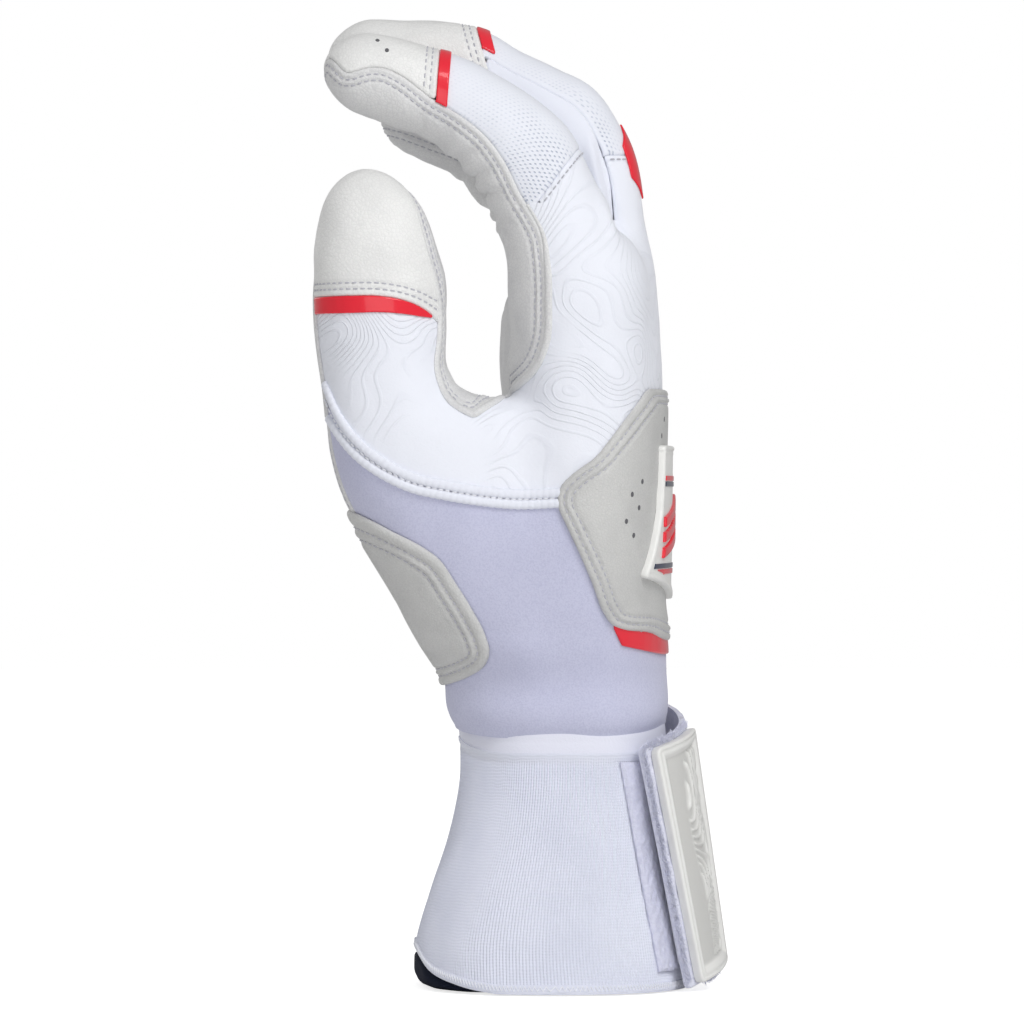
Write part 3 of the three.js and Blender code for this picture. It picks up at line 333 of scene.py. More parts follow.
class Surface:
    """Triangles with a normal and a value of every field at each point: x y z, nx ny nz, fields."""

    def __init__(self, rows, triangles, names):
        self.rows, self.triangles, self.names = rows, triangles, names

    @classmethod
    def made(cls, points, triangles, fields):
        normals = vertex_normals(points, triangles)
        return cls(np.column_stack([points, normals] + list(fields.values())), triangles, list(fields))

    @property
    def points(self):
        return self.rows[:, :3]

    @property
    def normals(self):
        return unit(self.rows[:, 3:6])

    def __getitem__(self, name):
        return self.rows[:, 6 + self.names.index(name)]

    def compact(self, rows, triangles):
        used, flat = np.unique(triangles, return_inverse=True)
        return Surface(rows[used], flat.reshape(-1, 3), self.names)

    def around(self, limits, margin=2.5):
        """The triangles that lie inside every limit, or near its edge."""
        keep = np.ones(len(self.rows), bool)
        for field, sign, _ in limits:
            keep &= sign * self[field] > -margin
        return self.compact(self.rows, self.triangles[keep[self.triangles].all(1)])

    def clipped(self, g):
        """The part where g is over zero."""
        g = np.where(g == 0, 1e-9, g)
        inside = g > 0
        count = inside[self.triangles].sum(1)
        parts, made, edges = [self.triangles[count == 3]], [], []
        for lone_inside in (True, False):
            t = self.triangles[count == (1 if lone_inside else 2)]
            lone = np.argmax(inside[t] == lone_inside, axis=1)
            t = t[np.arange(len(t))[:, None], (lone[:, None] + np.arange(3)) % 3]
            made.append((lone_inside, t))
            edges += [t[:, [0, 1]], t[:, [0, 2]]]
        edges = np.sort(np.concatenate(edges), axis=1)
        rows = self.rows
        if len(edges):
            ends, back = np.unique(edges, axis=0, return_inverse=True)
            back = back.ravel() + len(rows)
            a, b = ends.T
            t = (g[a] / (g[a] - g[b]))[:, None]
            rows = np.concatenate([rows, rows[a] * (1 - t) + rows[b] * t])
            taken = 0
            for lone_inside, t in made:
                m = len(t)
                first, second = back[taken:taken + m], back[taken + m:taken + 2 * m]
                taken += 2 * m
                if lone_inside:
                    parts.append(np.column_stack([t[:, 0], first, second]))
                else:
                    parts += [np.column_stack([first, t[:, 1], t[:, 2]]),
                              np.column_stack([first, t[:, 2], second])]
        return self.compact(rows, np.concatenate(parts))

    def finer(self):
        """Each triangle in four, with the new points on the curved surface."""
        t = self.triangles
        edges = np.sort(sides_of(t), axis=1)
        ends, back = np.unique(edges, axis=0, return_inverse=True)
        a, b = ends.T
        rows = (self.rows[a] + self.rows[b]) / 2
        way = self.points[b] - self.points[a]
        na, nb = self.normals[a], self.normals[b]
        rows[:, :3] += ((way * nb).sum(1)[:, None] * nb - (way * na).sum(1)[:, None] * na) / 8
        rows[:, 3:6] = unit(na + nb)
        m = back.ravel().reshape(3, -1) + len(self.rows)
        faces = [(t[:, 0], m[0], m[2]), (m[0], t[:, 1], m[1]), (m[2], m[1], t[:, 2]), (m[0], m[1], m[2])]
        return Surface(np.concatenate([self.rows, rows]), np.concatenate([np.column_stack(f) for f in faces]),
                       self.names)

    def slope(self, g):
        """The gradient of g along the surface, at each point."""
        t, p = self.triangles, self.points
        a, b, c = corners_of(p, t)
        normal = np.cross(b - a, c - a)
        area = np.maximum((normal * normal).sum(1), 1e-14)[:, None]
        face = (np.cross(normal, c - b) * g[t[:, 0], None] + np.cross(normal, a - c) * g[t[:, 1], None]
                + np.cross(normal, b - a) * g[t[:, 2], None]) / area
        weight = np.sqrt(area)
        out, total = np.zeros_like(p), np.zeros((len(p), 1))
        for k in range(3):
            np.add.at(out, t[:, k], face * weight)
            np.add.at(total, t[:, k], weight)
        return out / np.maximum(total, 1e-12)

    def border(self):
        t = self.triangles
        edges = sides_of(t)
        size = t.max() + 1
        return edges[~np.isin(edges[:, 0] * size + edges[:, 1], edges[:, 1] * size + edges[:, 0])]

    def tracks(self, field, level=0.0, keep=(), step=0.4, least=5.0):
        """The lines along which a field has this level: rows of point and normal, step apart."""
        g = self[field] - level
        inside = g > 0
        t = self.triangles[inside[self.triangles].sum(1) % 3 != 0]
        edges = np.sort(sides_of(t), axis=1)
        cut = inside[edges[:, 0]] != inside[edges[:, 1]]
        if not cut.any():
            return []
        face = np.tile(np.arange(len(t)), 3)[cut]
        ends, back = np.unique(edges[cut], axis=0, return_inverse=True)
        pairs = back.ravel()[np.argsort(face, kind="stable")].reshape(-1, 2)
        a, b = ends.T
        share = (g[a] / (g[a] - g[b]))[:, None]
        found = Surface(self.rows[a] * (1 - share) + self.rows[b] * share, None, self.names)
        ok = np.ones(len(found.rows), bool)
        for name, sign, least_value in keep:
            ok &= sign * found[name] > least_value
        lines = []
        for chain in chains(pairs[ok[pairs].all(1)]):
            line = found.rows[chain][:, :6]
            for _ in range(3):
                line[1:-1] = (line[:-2] + 2 * line[1:-1] + line[2:]) / 4
            if run_of(line[:, :3])[-1] > least:
                line = even(line, step)
                line[:, 3:] = unit(line[:, 3:])
                lines.append(line)
        return lines


def chains(pairs):
    """Runs of linked numbers, from pairs."""
    links = {}
    for i, j in pairs.tolist():
        links.setdefault(i, []).append(j)
        links.setdefault(j, []).append(i)
    seen, out = set(), []
    for start in sorted(links, key=lambda i: len(links[i])):
        if start in seen:
            continue
        chain, here = [start], start
        seen.add(start)
        while True:
            onwards = [i for i in links[here] if i not in seen]
            if not onwards:
                break
            here = onwards[0]
            seen.add(here)
            chain.append(here)
        if len(chain) > 2 and start in links[here]:
            chain.append(start)
        out.append(chain)
    return out


# ---------------------------------------------------------------- closed meshes

def new_object(name, data):
    obj = bpy.data.objects.new(name, data)
    bpy.context.scene.collection.objects.link(obj)
    return obj


def solid(name, points, faces, slot, top=0, top_normals=None, cloth=None):
    """A mesh object from millimetre points in the drawing frame.
    Its first faces, as many as top says, may be given their normals."""
    me = bpy.data.meshes.new(name)
    width = faces.shape[1]
    me.vertices.add(len(points))
    me.vertices.foreach_set("co", metres(points).astype(np.float32).ravel())
    me.loops.add(len(faces) * width)
    me.loops.foreach_set("vertex_index", faces.astype(np.int32).ravel())
    me.polygons.add(len(faces))
    me.polygons.foreach_set("loop_start", np.arange(0, len(faces) * width, width, dtype=np.int32))
    me.polygons.foreach_set("use_smooth", np.ones(len(faces), bool))
    for key, values in (("rest", points), ("cloth", points if cloth is None else cloth)):
        me.attributes.new(key, "FLOAT_VECTOR", "POINT").data.foreach_set("vector",
                                                                      np.asarray(values, np.float32).ravel())
    me.update(calc_edges=True)
    me.set_sharp_from_angle(angle=math.radians(50))
    if top_normals is not None:
        custom = np.zeros((len(faces), width, 3), np.float32)
        custom[:top] = top_normals[faces[:top]]
        me.normals_split_custom_set(custom.reshape(-1, 3))
    me.materials.append(MATERIALS[slot])
    return new_object(name, me)


def close_up(surface, upper, normals, out, soft, bottom, dip, rings):
    """Points and faces of a closed panel: its top, a rolled edge where soft, straight walls and an underside.
    The last answer is the top's point that each point comes from."""
    size = len(surface.rows)
    edges = surface.border()
    rim = np.unique(edges)
    rolled = rim[soft[rim]]
    points, ring_of, count = [upper], [np.arange(size)], size
    for k in range(1, rings + 1):
        phi = math.pi / 2 * k / rings
        down = dip * (1 - math.cos(phi))
        points.append(upper[rolled] + out[rolled] * math.sin(phi) - normals[rolled] * down)
        ring = np.arange(size)
        ring[rolled] = count + np.arange(len(rolled))
        ring_of.append(ring)
        count += len(rolled)
    ring = np.arange(size)
    ring[rim] = count + np.arange(len(rim))
    points.append((surface.points + out + bottom * normals)[rim])
    count += len(rim)
    ring_of += [ring, np.arange(size) + count]
    points.append(surface.points + bottom * normals)
    faces = [surface.triangles]
    a, b = edges[:, 1], edges[:, 0]
    for before, after in zip(ring_of[:-1], ring_of[1:]):
        faces += [np.column_stack([before[a], before[b], after[b]]),
                  np.column_stack([before[a], after[b], after[a]])]
    faces = np.concatenate(faces + [surface.triangles[:, ::-1] + count])
    flat = (faces[:, 0] == faces[:, 1]) | (faces[:, 1] == faces[:, 2]) | (faces[:, 0] == faces[:, 2])
    source = np.concatenate([np.arange(size)] + [rolled] * rings + [rim, np.arange(size)])
    return np.concatenate(points), faces[~flat], source


def eased(values, edges, times=4):
    """Values at points, each drawn towards its neighbours' along the edges."""
    a, b = np.concatenate([edges, edges[:, ::-1]]).T
    count = np.bincount(a, minlength=len(values))[:, None]
    for _ in range(times):
        total = np.column_stack([np.bincount(a, values[b, k], len(values)) for k in range(3)])
        values = np.where(count > 0, (values + total / np.maximum(count, 1)) / 2, values)
    return values


def panel(name, surface, limits, slot, top=0.0, bottom=-1.2, roll=0.7, dip=0.5, shape=None, finer=0, rings=3):
    """A closed panel cut from a surface. Limits are (field, sign, kind), as seam and cut give them.
    The shape gives each point's own lift."""
    part = surface.around(limits)
    for _ in range(finer):
        part = part.finer()
    for field, sign, kind in limits:
        part = part.clipped(sign * part[field] - (roll if kind == "seam" else 0))
    normals = part.normals
    edges = part.border()
    rim = np.unique(edges)
    out, soft = np.zeros((len(part.rows), 3)), np.zeros(len(part.rows), bool)
    for field, sign, kind in limits:
        if kind == "seam":
            g = sign * part[field]
            on = np.zeros(len(g), bool)
            on[rim] = np.abs(g[rim] - roll) < 1e-4
            slope = part.slope(g)
            slope = roll * slope / np.maximum((slope * slope).sum(1), 0.35)[:, None]
            out[on] -= eased(slope, edges[on[edges].all(1)])[on]
            soft |= on
    out -= (out * normals).sum(1)[:, None] * normals
    lift = top + (shape(part) if shape else np.zeros(len(part.rows)))
    upper = part.points + lift[:, None] * normals
    shown = vertex_normals(upper, part.triangles) if shape else normals
    if shape:
        shown[rim] = normals[rim]
    points, faces, source = close_up(part, upper, normals, out, soft, bottom, dip, rings)
    if "cloth_u" in part.names:
        cloth = np.column_stack([part[key] for key in ("cloth_u", "cloth_v", "cloth_w")])[source]
    else:
        cloth = np.column_stack([lift, 0 * lift, 0 * lift])[source]
    return solid(name, points, faces, slot, len(part.triangles), shown, cloth)


def swept(name, lines, section, slot, scale=None):
    """Closed strips along lines of points and normals. The section is a ring of (across, up) points."""
    section = np.asarray(section, float)
    sides = len(section)
    points, faces, count = [], [], 0
    for line in lines:
        p, n = line[:, :3], line[:, 3:6]
        way = unit(np.gradient(p, axis=0))
        across = unit(np.cross(way, n))
        n = np.cross(across, way)
        size = np.ones(len(p)) if scale is None else scale(run_of(p))
        size[0] = size[-1] = 0.5
        size = size[:, None, None]
        rings = p[:, None] + size * (section[None, :, :1] * across[:, None]
                                     + section[None, :, 1:] * n[:, None])
        points.append(rings.reshape(-1, 3))
        i = np.arange(len(p) - 1)[:, None] * sides
        k = np.arange(sides)[None]
        a, b = i + k, i + (k + 1) % sides
        quads = np.stack([a, b, b + sides, a + sides], -1).reshape(-1, 4)
        faces += [quads[:, [0, 1, 2]] + count, quads[:, [0, 2, 3]] + count]
        fan = np.array([(0, k + 1, k) for k in range(1, sides - 1)])
        faces += [fan + count, fan[:, ::-1] + count + (len(p) - 1) * sides]
        count += len(p) * sides
    return solid(name, np.concatenate(points), np.concatenate(faces), slot)


def oval(width, height, lift, sides=10):
    turn = np.linspace(0, 2 * math.pi, sides, endpoint=False)
    return np.column_stack([width / 2 * np.cos(turn), lift + height / 2 * np.sin(turn)])


# A stitch: a short bowed thread, in its own length, width and height
STITCH_RINGS = [(-0.5, 0.3, -0.5), (-0.32, 0.9, 0.1), (0.32, 0.9, 0.1), (0.5, 0.3, -0.5)]
STITCH_SIDES = 5


def stitch_shape(length, radius):
    turn = np.linspace(0, 2 * math.pi, STITCH_SIDES, endpoint=False)
    rings = [np.column_stack([np.full(STITCH_SIDES, x * length), r * radius * np.cos(turn),
                              r * radius * np.sin(turn) + up * radius]) for x, r, up in STITCH_RINGS]
    faces = []
    for i in range(len(rings) - 1):
        for k in range(STITCH_SIDES):
            a, b = i * STITCH_SIDES + k, i * STITCH_SIDES + (k + 1) % STITCH_SIDES
            faces += [(a, b, b + STITCH_SIDES), (a, b + STITCH_SIDES, a + STITCH_SIDES)]
    last = (len(rings) - 1) * STITCH_SIDES
    for k in range(1, STITCH_SIDES - 1):
        faces += [(0, k + 1, k), (last, last + k, last + k + 1)]
    return np.concatenate(rings), np.array(faces)[:, ::-1]


def stitches(name, rows, slot="thread", pitch=1.6, length=1.15, radius=0.2):
    """Stitches along rows: pairs of a line of points and normals, and its lift."""
    shape, faces = stitch_shape(length, radius)
    points, all_faces, count = [], [], 0
    for line, lift in rows:
        at = even(line[:, :6], 0.2)
        run = run_of(at[:, :3])
        places = np.arange(pitch / 2, run[-1], pitch)
        i = np.clip(np.searchsorted(run, places), 1, len(run) - 2)
        p, n = at[i, :3], unit(at[i, 3:6])
        way = unit(at[i + 1, :3] - at[i - 1, :3])
        across = unit(np.cross(n, way))
        n = np.cross(way, across)
        p = p + lift * n
        made = (p[:, None] + shape[None, :, :1] * way[:, None] + shape[None, :, 1:2] * across[:, None]
                + shape[None, :, 2:] * n[:, None])
        points.append(made.reshape(-1, 3))
        starts = count + np.arange(len(p)) * len(shape)
        all_faces.append((faces[None] + starts[:, None, None]).reshape(-1, 3))
        count += len(p) * len(shape)
    return solid(name, np.concatenate(points), np.concatenate(all_faces), slot)


# ---------------------------------------------------------------- materials

def add_node(tree, kind, inputs=(), **properties):
    """A node with these properties; each input is given a value or linked to a socket."""
    node = tree.nodes.new(kind)
    for key, value in properties.items():
        setattr(node, key, value)
    for key, value in dict(inputs).items():
        if isinstance(value, bpy.types.NodeSocket):
            tree.links.new(value, node.inputs[key])
        else:
            node.inputs[key].default_value = value
    return node


class Paint:
    """One node material; its coordinates are millimetres, from a mesh attribute."""

    def __init__(self, name, colour, roughness, coords="rest", **sockets):
        self.material = bpy.data.materials.new(name)
        self.material.use_nodes = True
        self.tree = self.material.node_tree
        self.shader = self.tree.nodes["Principled BSDF"]
        self.colour = (*colour, 1)
        self.shader.inputs["Base Color"].default_value = self.colour
        self.shader.inputs["Roughness"].default_value = roughness
        for socket, value in sockets.items():
            self.shader.inputs[socket.replace("_", " ")].default_value = value
        self.place = self.add("ShaderNodeAttribute", attribute_name=coords).outputs["Vector"]
        self.height = None

    def add(self, kind, inputs=(), **properties):
        return add_node(self.tree, kind, inputs, **properties)

    def math(self, operation, *values):
        return self.add("ShaderNodeMath", dict(enumerate(values)), operation=operation).outputs[0]

    def noise(self, size, detail=2.0, rough=0.5, distortion=0.0, place=None):
        inputs = {"Vector": place or self.place, "Scale": 1 / size, "Detail": detail, "Roughness": rough,
                  "Distortion": distortion}
        return self.add("ShaderNodeTexNoise", inputs).outputs["Fac"]

    def cells(self, size, feature="F1", randomness=1.0, place=None):
        inputs = {"Vector": place or self.place, "Scale": 1 / size, "Randomness": randomness}
        return self.add("ShaderNodeTexVoronoi", inputs, feature=feature).outputs["Distance"]

    def ramp(self, value, low, high, to_low=0.0, to_high=1.0):
        return self.add("ShaderNodeMapRange", {0: value, 1: low, 2: high, 3: to_low, 4: to_high},
                        interpolation_type="SMOOTHSTEP").outputs[0]

    def axes(self):
        return self.add("ShaderNodeSeparateXYZ", {0: self.place}).outputs

    def tint(self, factor, colour):
        """Mixes this colour in by the factor."""
        mix = self.add("ShaderNodeMix", {"Factor": factor, "B": (*colour, 1)}, data_type="RGBA")
        for socket in mix.inputs:
            if socket.type == "RGBA" and socket.name == "A":
                if isinstance(self.colour, bpy.types.NodeSocket):
                    self.tree.links.new(self.colour, socket)
                else:
                    socket.default_value = self.colour
            if socket.type == "RGBA" and socket.name == "B":
                socket.default_value = (*colour, 1)
        self.colour = [s for s in mix.outputs if s.type == "RGBA"][0]
        self.tree.links.new(self.colour, self.shader.inputs["Base Color"])
        return self

    def relief(self, value, depth):
        """Adds bumps of this depth in millimetres."""
        inputs = {"Height": value, "Distance": depth * MM, "Strength": 1.0}
        if self.height:
            inputs["Normal"] = self.height
        self.height = self.add("ShaderNodeBump", inputs).outputs["Normal"]
        self.tree.links.new(self.height, self.shader.inputs["Normal"])
        return self


def leather(name, colour, shade, roughness, grain=1.0):
    p = Paint(name, colour, roughness, Specular_IOR_Level=0.4)
    bend = p.noise(9, 2)
    pebble = p.cells(0.85 * grain, "DISTANCE_TO_EDGE")
    p.tint(p.ramp(pebble, 0.0, 0.14, 0.3, 0.0), shade)
    p.tint(p.ramp(bend, 0.35, 0.75, 0.0, 0.3), shade)
    p.relief(p.noise(4.5, 3, 0.6, 0.6), 0.25)
    p.relief(p.ramp(pebble, 0.0, 0.3), 0.04)
    return p.relief(p.noise(0.45, 2), 0.035).material


def knit(name, colour, roughness=0.85):
    p = Paint(name, colour, roughness, Sheen_Weight=0.15, Sheen_Roughness=0.5)
    p.relief(p.noise(0.5, 2, 0.7), 0.07)
    return p


def embossed_knit(name, colour, shade):
    p = knit(name, colour)
    level = p.math("MULTIPLY", p.noise(36, 0.5, 0.4, 0.9), 34.0)
    line = p.ramp(p.math("PINGPONG", level, 0.5), 0.04, 0.17)
    part = p.ramp(p.noise(26, 1), 0.4, 0.5)
    line = p.math("MAXIMUM", line, p.math("SUBTRACT", 1.0, part))
    p.tint(p.math("MULTIPLY", p.math("SUBTRACT", 1.0, line), 0.07), shade)
    p.relief(line, -0.1)
    p.relief(p.noise(7, 2), 0.3)
    return p.material


def mesh_knit(name, colour, shade):
    p = Paint(name, colour, 0.85, coords="cloth", Sheen_Weight=0.15, Sheen_Roughness=0.5)
    u, v, strength = p.axes()
    skewed = p.add("ShaderNodeCombineXYZ", {0: p.math("ADD", u, p.math("MULTIPLY", v, 0.577)),
                                            1: p.math("MULTIPLY", v, 1.1547)}).outputs[0]
    # The mesh's openings are pressed in and tinted darker: painted shade inside the holes, strongest where
    # the weave is most open.
    hole_shade = p.ramp(p.cells(1.0, randomness=0.0, place=skewed), 0.12, 0.3, 1.0, 0.0)
    hole_shade = p.math("MULTIPLY", p.math("MULTIPLY", hole_shade, strength), p.ramp(p.noise(6, 1), 0.3, 0.6, 0.45, 1.0))
    p.tint(hole_shade, shade)
    p.relief(hole_shade, -0.2)
    return p.relief(p.noise(0.4, 2), 0.04).material


def neoprene(name, colour, shade):
    p = Paint(name, colour, 0.9, Sheen_Weight=0.2, Sheen_Roughness=0.6)
    p.tint(p.ramp(p.noise(0.42, 1, 0.7), 0.4, 0.66, 0.0, 0.35), shade)
    p.tint(p.ramp(p.noise(16, 2), 0.4, 0.7, 0.0, 0.2), shade)
    return p.relief(p.noise(0.45, 1, 0.6), 0.07).material


def ribbed(name, colour, shade):
    p = Paint(name, colour, 0.85, Sheen_Weight=0.15, Sheen_Roughness=0.6)
    z = p.axes()[2]
    rung = p.math("SINE", p.math("MULTIPLY", p.math("ADD", z, p.noise(3, 1)), 2 * math.pi / 0.68))
    p.tint(p.ramp(rung, -1.0, 0.2, 0.16, 0.0), shade)
    p.tint(p.ramp(p.noise(12, 2), 0.4, 0.7, 0.0, 0.2), shade)
    p.relief(rung, 0.02)
    return p.relief(p.noise(0.5, 2), 0.06).material


def velour(name, colour, shade):
    p = Paint(name, colour, 1.0, Sheen_Weight=0.5, Sheen_Roughness=0.4)
    p.tint(p.ramp(p.noise(0.9, 3, 0.7), 0.4, 0.65, 0.0, 0.5), shade)
    p.relief(p.noise(1.6, 2, 0.7), 0.35)
    return p.relief(p.noise(0.35, 2, 0.7), 0.15).material


def film(name, colour):
    p = Paint(name, colour, 0.3, Specular_IOR_Level=0.25, Coat_Weight=0.4, Coat_Roughness=0.05)
    return p.relief(p.noise(5, 1), 0.18).material


def rubber(name, colour, shade):
    p = Paint(name, colour, 0.42)
    cloth = p.add("ShaderNodeAttribute", attribute_name="cloth").outputs["Vector"]
    lift = p.add("ShaderNodeSeparateXYZ", {0: cloth})
    # The pull tab's recessed floor, below its rims, is tinted darker: painted shade in the recess.
    p.tint(p.ramp(lift.outputs[0], -1.3, -0.75, 0.75, 0.0), shade)
    p.tint(p.ramp(p.noise(6, 3), 0.45, 0.8, 0.0, 0.15), shade)
    return p.relief(p.noise(0.3, 1), 0.012).material


def yarn(name, colour):
    p = Paint(name, colour, 0.7, Sheen_Weight=0.2)
    return p.relief(p.noise(0.15, 1), 0.04).material


MATERIALS = {
    "leather": leather("leather", (.75, .75, .75), (.52, .52, .54), 0.55),
    "tip_leather": leather("tip_leather", (.84, .84, .83), (.66, .66, .66), 0.5),
    "patch_leather": leather("patch_leather", (.62, .62, .61), (.45, .45, .45), 0.5, 0.8),
    "embossed_knit": embossed_knit("embossed_knit", (.84, .86, .93), (.55, .58, .68)),
    "mesh_knit": mesh_knit("mesh_knit", (.81, .83, .9), (.45, .5, .64)),
    "stretch_knit": knit("stretch_knit", (.81, .83, .91)).material,
    "neoprene": neoprene("neoprene", (.585, .595, .76), (.43, .44, .62)),
    "red_film": film("red_film", (.82, .02, .04)),
    "navy_film": film("navy_film", (.02, .03, .07)),
    "badge_rubber": rubber("badge_rubber", (.84, .84, .82), (.6, .6, .58)),
    "ribbed_elastic": ribbed("ribbed_elastic", (.76, .78, .88), (.6, .62, .75)),
    "smooth_band": knit("smooth_band", (.78, .79, .89)).material,
    "navy_lining": Paint("navy_lining", (.009, .012, .026), 0.9, Specular_IOR_Level=0.15).material,
    "velour": velour("velour", (.8, .81, .92), (.62, .64, .81)),
    # The loop pile's lavender is partly its own tone and partly painted shade, darkened towards the shadow
    # the strap casts on it.
    "loop_pile": velour("loop_pile", (.7, .71, .85), (.58, .59, .76)),
    "hook_tape": velour("hook_tape", (.8, .81, .86), (.6, .62, .7)),
    "thread": yarn("thread", (.5, .5, .55)),
    "white_thread": yarn("white_thread", (.86, .87, .92)),
    # The vent discs' near-black colour is painted shade, standing in for the dark inside each punched hole.
    "hole_shade": Paint("hole_shade", (.12, .12, .13), 0.9).material}


# ---------------------------------------------------------------- where the panels meet, in the side view

def polygon_depth(outline, x, z):
    """Distance inside a closed outline, negative outside."""
    outline = np.asarray(outline, float)
    best = np.full(len(x), 1e9)
    inside = np.zeros(len(x), bool)
    for (x0, z0), (x1, z1) in zip(outline, np.roll(outline, -1, axis=0)):
        ex, ez = x1 - x0, z1 - z0
        t = np.clip(((x - x0) * ex + (z - z0) * ez) / (ex * ex + ez * ez), 0, 1)
        best = np.minimum(best, np.hypot(x - x0 - t * ex, z - z0 - t * ez))
        if z0 != z1:
            inside ^= ((z0 > z) != (z1 > z)) & (x < ex * (z - z0) / (z1 - z0) + x0)
    return np.where(inside, best, -best)


def over_line(line, x, z):
    """Distance above a line drawn from left to right, negative under it."""
    line = smooth_line(line, 1.5)
    slope = np.interp(x, line[:, 0], np.gradient(line[:, 1], line[:, 0]))
    return (z - np.interp(x, line[:, 0], line[:, 1])) / np.hypot(1, slope)


def beside(line, x, z):
    """Distance to the left of a straight line, going up it."""
    (x0, z0), (x1, z1) = line
    return ((x0 - x) * (z1 - z0) + (z - z0) * (x1 - x0)) / math.hypot(x1 - x0, z1 - z0)


# The palm leather's edge on the near side: from the thumb's crotch up the hand's side and the index finger
SIDE_EDGE = [(-14.6, 126), (-13, 126.9), (-10.3, 128.5), (-5.8, 131.5), (-.9, 136.1), (1.1, 141),
             (1.6, 150.5), (1.4, 157.9), (.2, 165.2), (-1.9, 169.2), (-4.5, 173.5), (-7.8, 180.2),
             (-12.3, 186.2), (-17.8, 190.6), (-23.3, 193.9), (-30, 198.9), (-34.3, 200.8), (-37.6, 200.8),
             (-39.5, 200.3), (-41.5, 199.7), (-44.3, 202.2), (-47.3, 204.6)]
# Its edge down the thumb's side to the crotch, which ends where SIDE_EDGE starts
THUMB_EDGE = [(-28, 176), (-26.2, 169), (-25, 164.4), (-23.5, 158.2), (-21.8, 152.3), (-21.3, 146.7),
              (-21.7, 140.8), (-22, 135), (-20.1, 130.5), (-17.2, 127.4), (-14.6, 126)]
# Heights along it, and its y there
THUMB_EDGE_Y = [(126, -41), (132, -40), (141, -39.2), (147, -39.4), (153, -40.4), (160, -41.2), (167, -41),
                (171, -40), (176, -38)]
BACK_SEAM = [(-60, 152), (-47.5, 131.5), (-44.6, 125.2), (-42, 121.3), (-38, 117.1), (-32.5, 113.3),
             (-27.6, 111), (-20.5, 109.4), (-13.3, 108.2), (-5.1, 107.4), (4.1, 107.7), (30, 108),
             (60, 108)]
THUMB_SIDE = [(-15.3, 100), (-15.3, 160), (-18, 172), (-23.5, 181), (-32, 188), (-70, 192), (-70, 100)]
THUMB_CAP = [(-60, 151), (-48, 151.2), (-41.1, 151.3), (-34.7, 151.2), (-30.3, 150.5), (-26, 148.9),
             (-22.4, 146.1), (-20.6, 143.9), (-14, 138)]
HEEL_LINE = [(40, 5), (56, 5), (64, 3.5), (70, -5), (77, -19), (85, -28.6), (100, -32.5), (112, -34),
             (127, -34.5), (150, -35), (185, -35.5)]
HEEL_PATCH = [(-60, 116), (-43, 107), (-40.5, 105.2), (-33.4, 101.3), (-25.8, 97.5), (-22, 94.7),
              (-18.4, 89.5), (-14.6, 83.4), (-11.8, 77.8), (-11, 74), (-12.2, 71.2), (-15.6, 68.8),
              (-20.3, 66.9), (-60, 66)]
BACK_PATCH = [(70, 131.6), (34, 131.6), (26, 131.6), (23.2, 131.3), (21, 128.6), (17.6, 124.1),
              (14.8, 120.3), (11.6, 116.4), (7.1, 113.1), (4.1, 109.6), (3.7, 106.4), (5.5, 102),
              (8.3, 95.9), (10.9, 89.8), (13.7, 82.6), (15.5, 80.2), (17.6, 79.3), (23.7, 78.2),
              (26.8, 76.5), (34, 75.6), (70, 73)]
WRIST_TRIM = [(15.1, 81), (17.7, 75.6), (26.9, 73.4), (70, 70), (70, 76), (23.7, 79), (17.6, 80.2)]
KNUCKLE_SEAMS = {"index": [(-6, 164.5), (7.8, 182.9)], "middle": [(0, 182.5), (20, 183.3)],
                 "ring": [(-2, 179.3), (18, 180.3)], "little": [(-2, 162), (11, 173.5)]}
CAP_LINES = {"index": [(-22.6, 194), (-21.7, 207)], "middle": [(-11.8, 203), (-14.2, 211.3)],
             "ring": [(-12.5, 192), (-14.5, 208)], "little": [(-13.5, 188), (-12.3, 204)]}
TRIM_WIDTH = 2.5
TRIM_REACH = {"index": 4.0, "middle": 0.95, "ring": 0.95, "little": 4.0}  # radians round from the back
KNUCKLE_TRIM = (10.4, 23.6)  # where the red diamonds start and end, from the flex axis
THUMB_TRIM_FOOT = [(-60, 147.6), (-41.1, 147.6), (-33.6, 147.7), (-28.2, 147.2), (-25.6, 146.8),
                   (-23.2, 146.6), (-14, 146.6)]
DIAMOND_HALF = 5.8
# The far side's seam between the leather and the knit: y, and its x there
FAR_SEAM_Y, FAR_SEAM_X = [-31, -28, -24, -18, -3, 3, 17.4, 23.4], [3.5, -.5, -.5, 6.8, 6.8, 5.1, 5.1, 1.6]
OUTSIDE, INSIDE = -4.0, 9.0  # field values well past a limit, on either side of it
WAIST = 58.0  # where the neoprene and the palm's leather meet the cuff


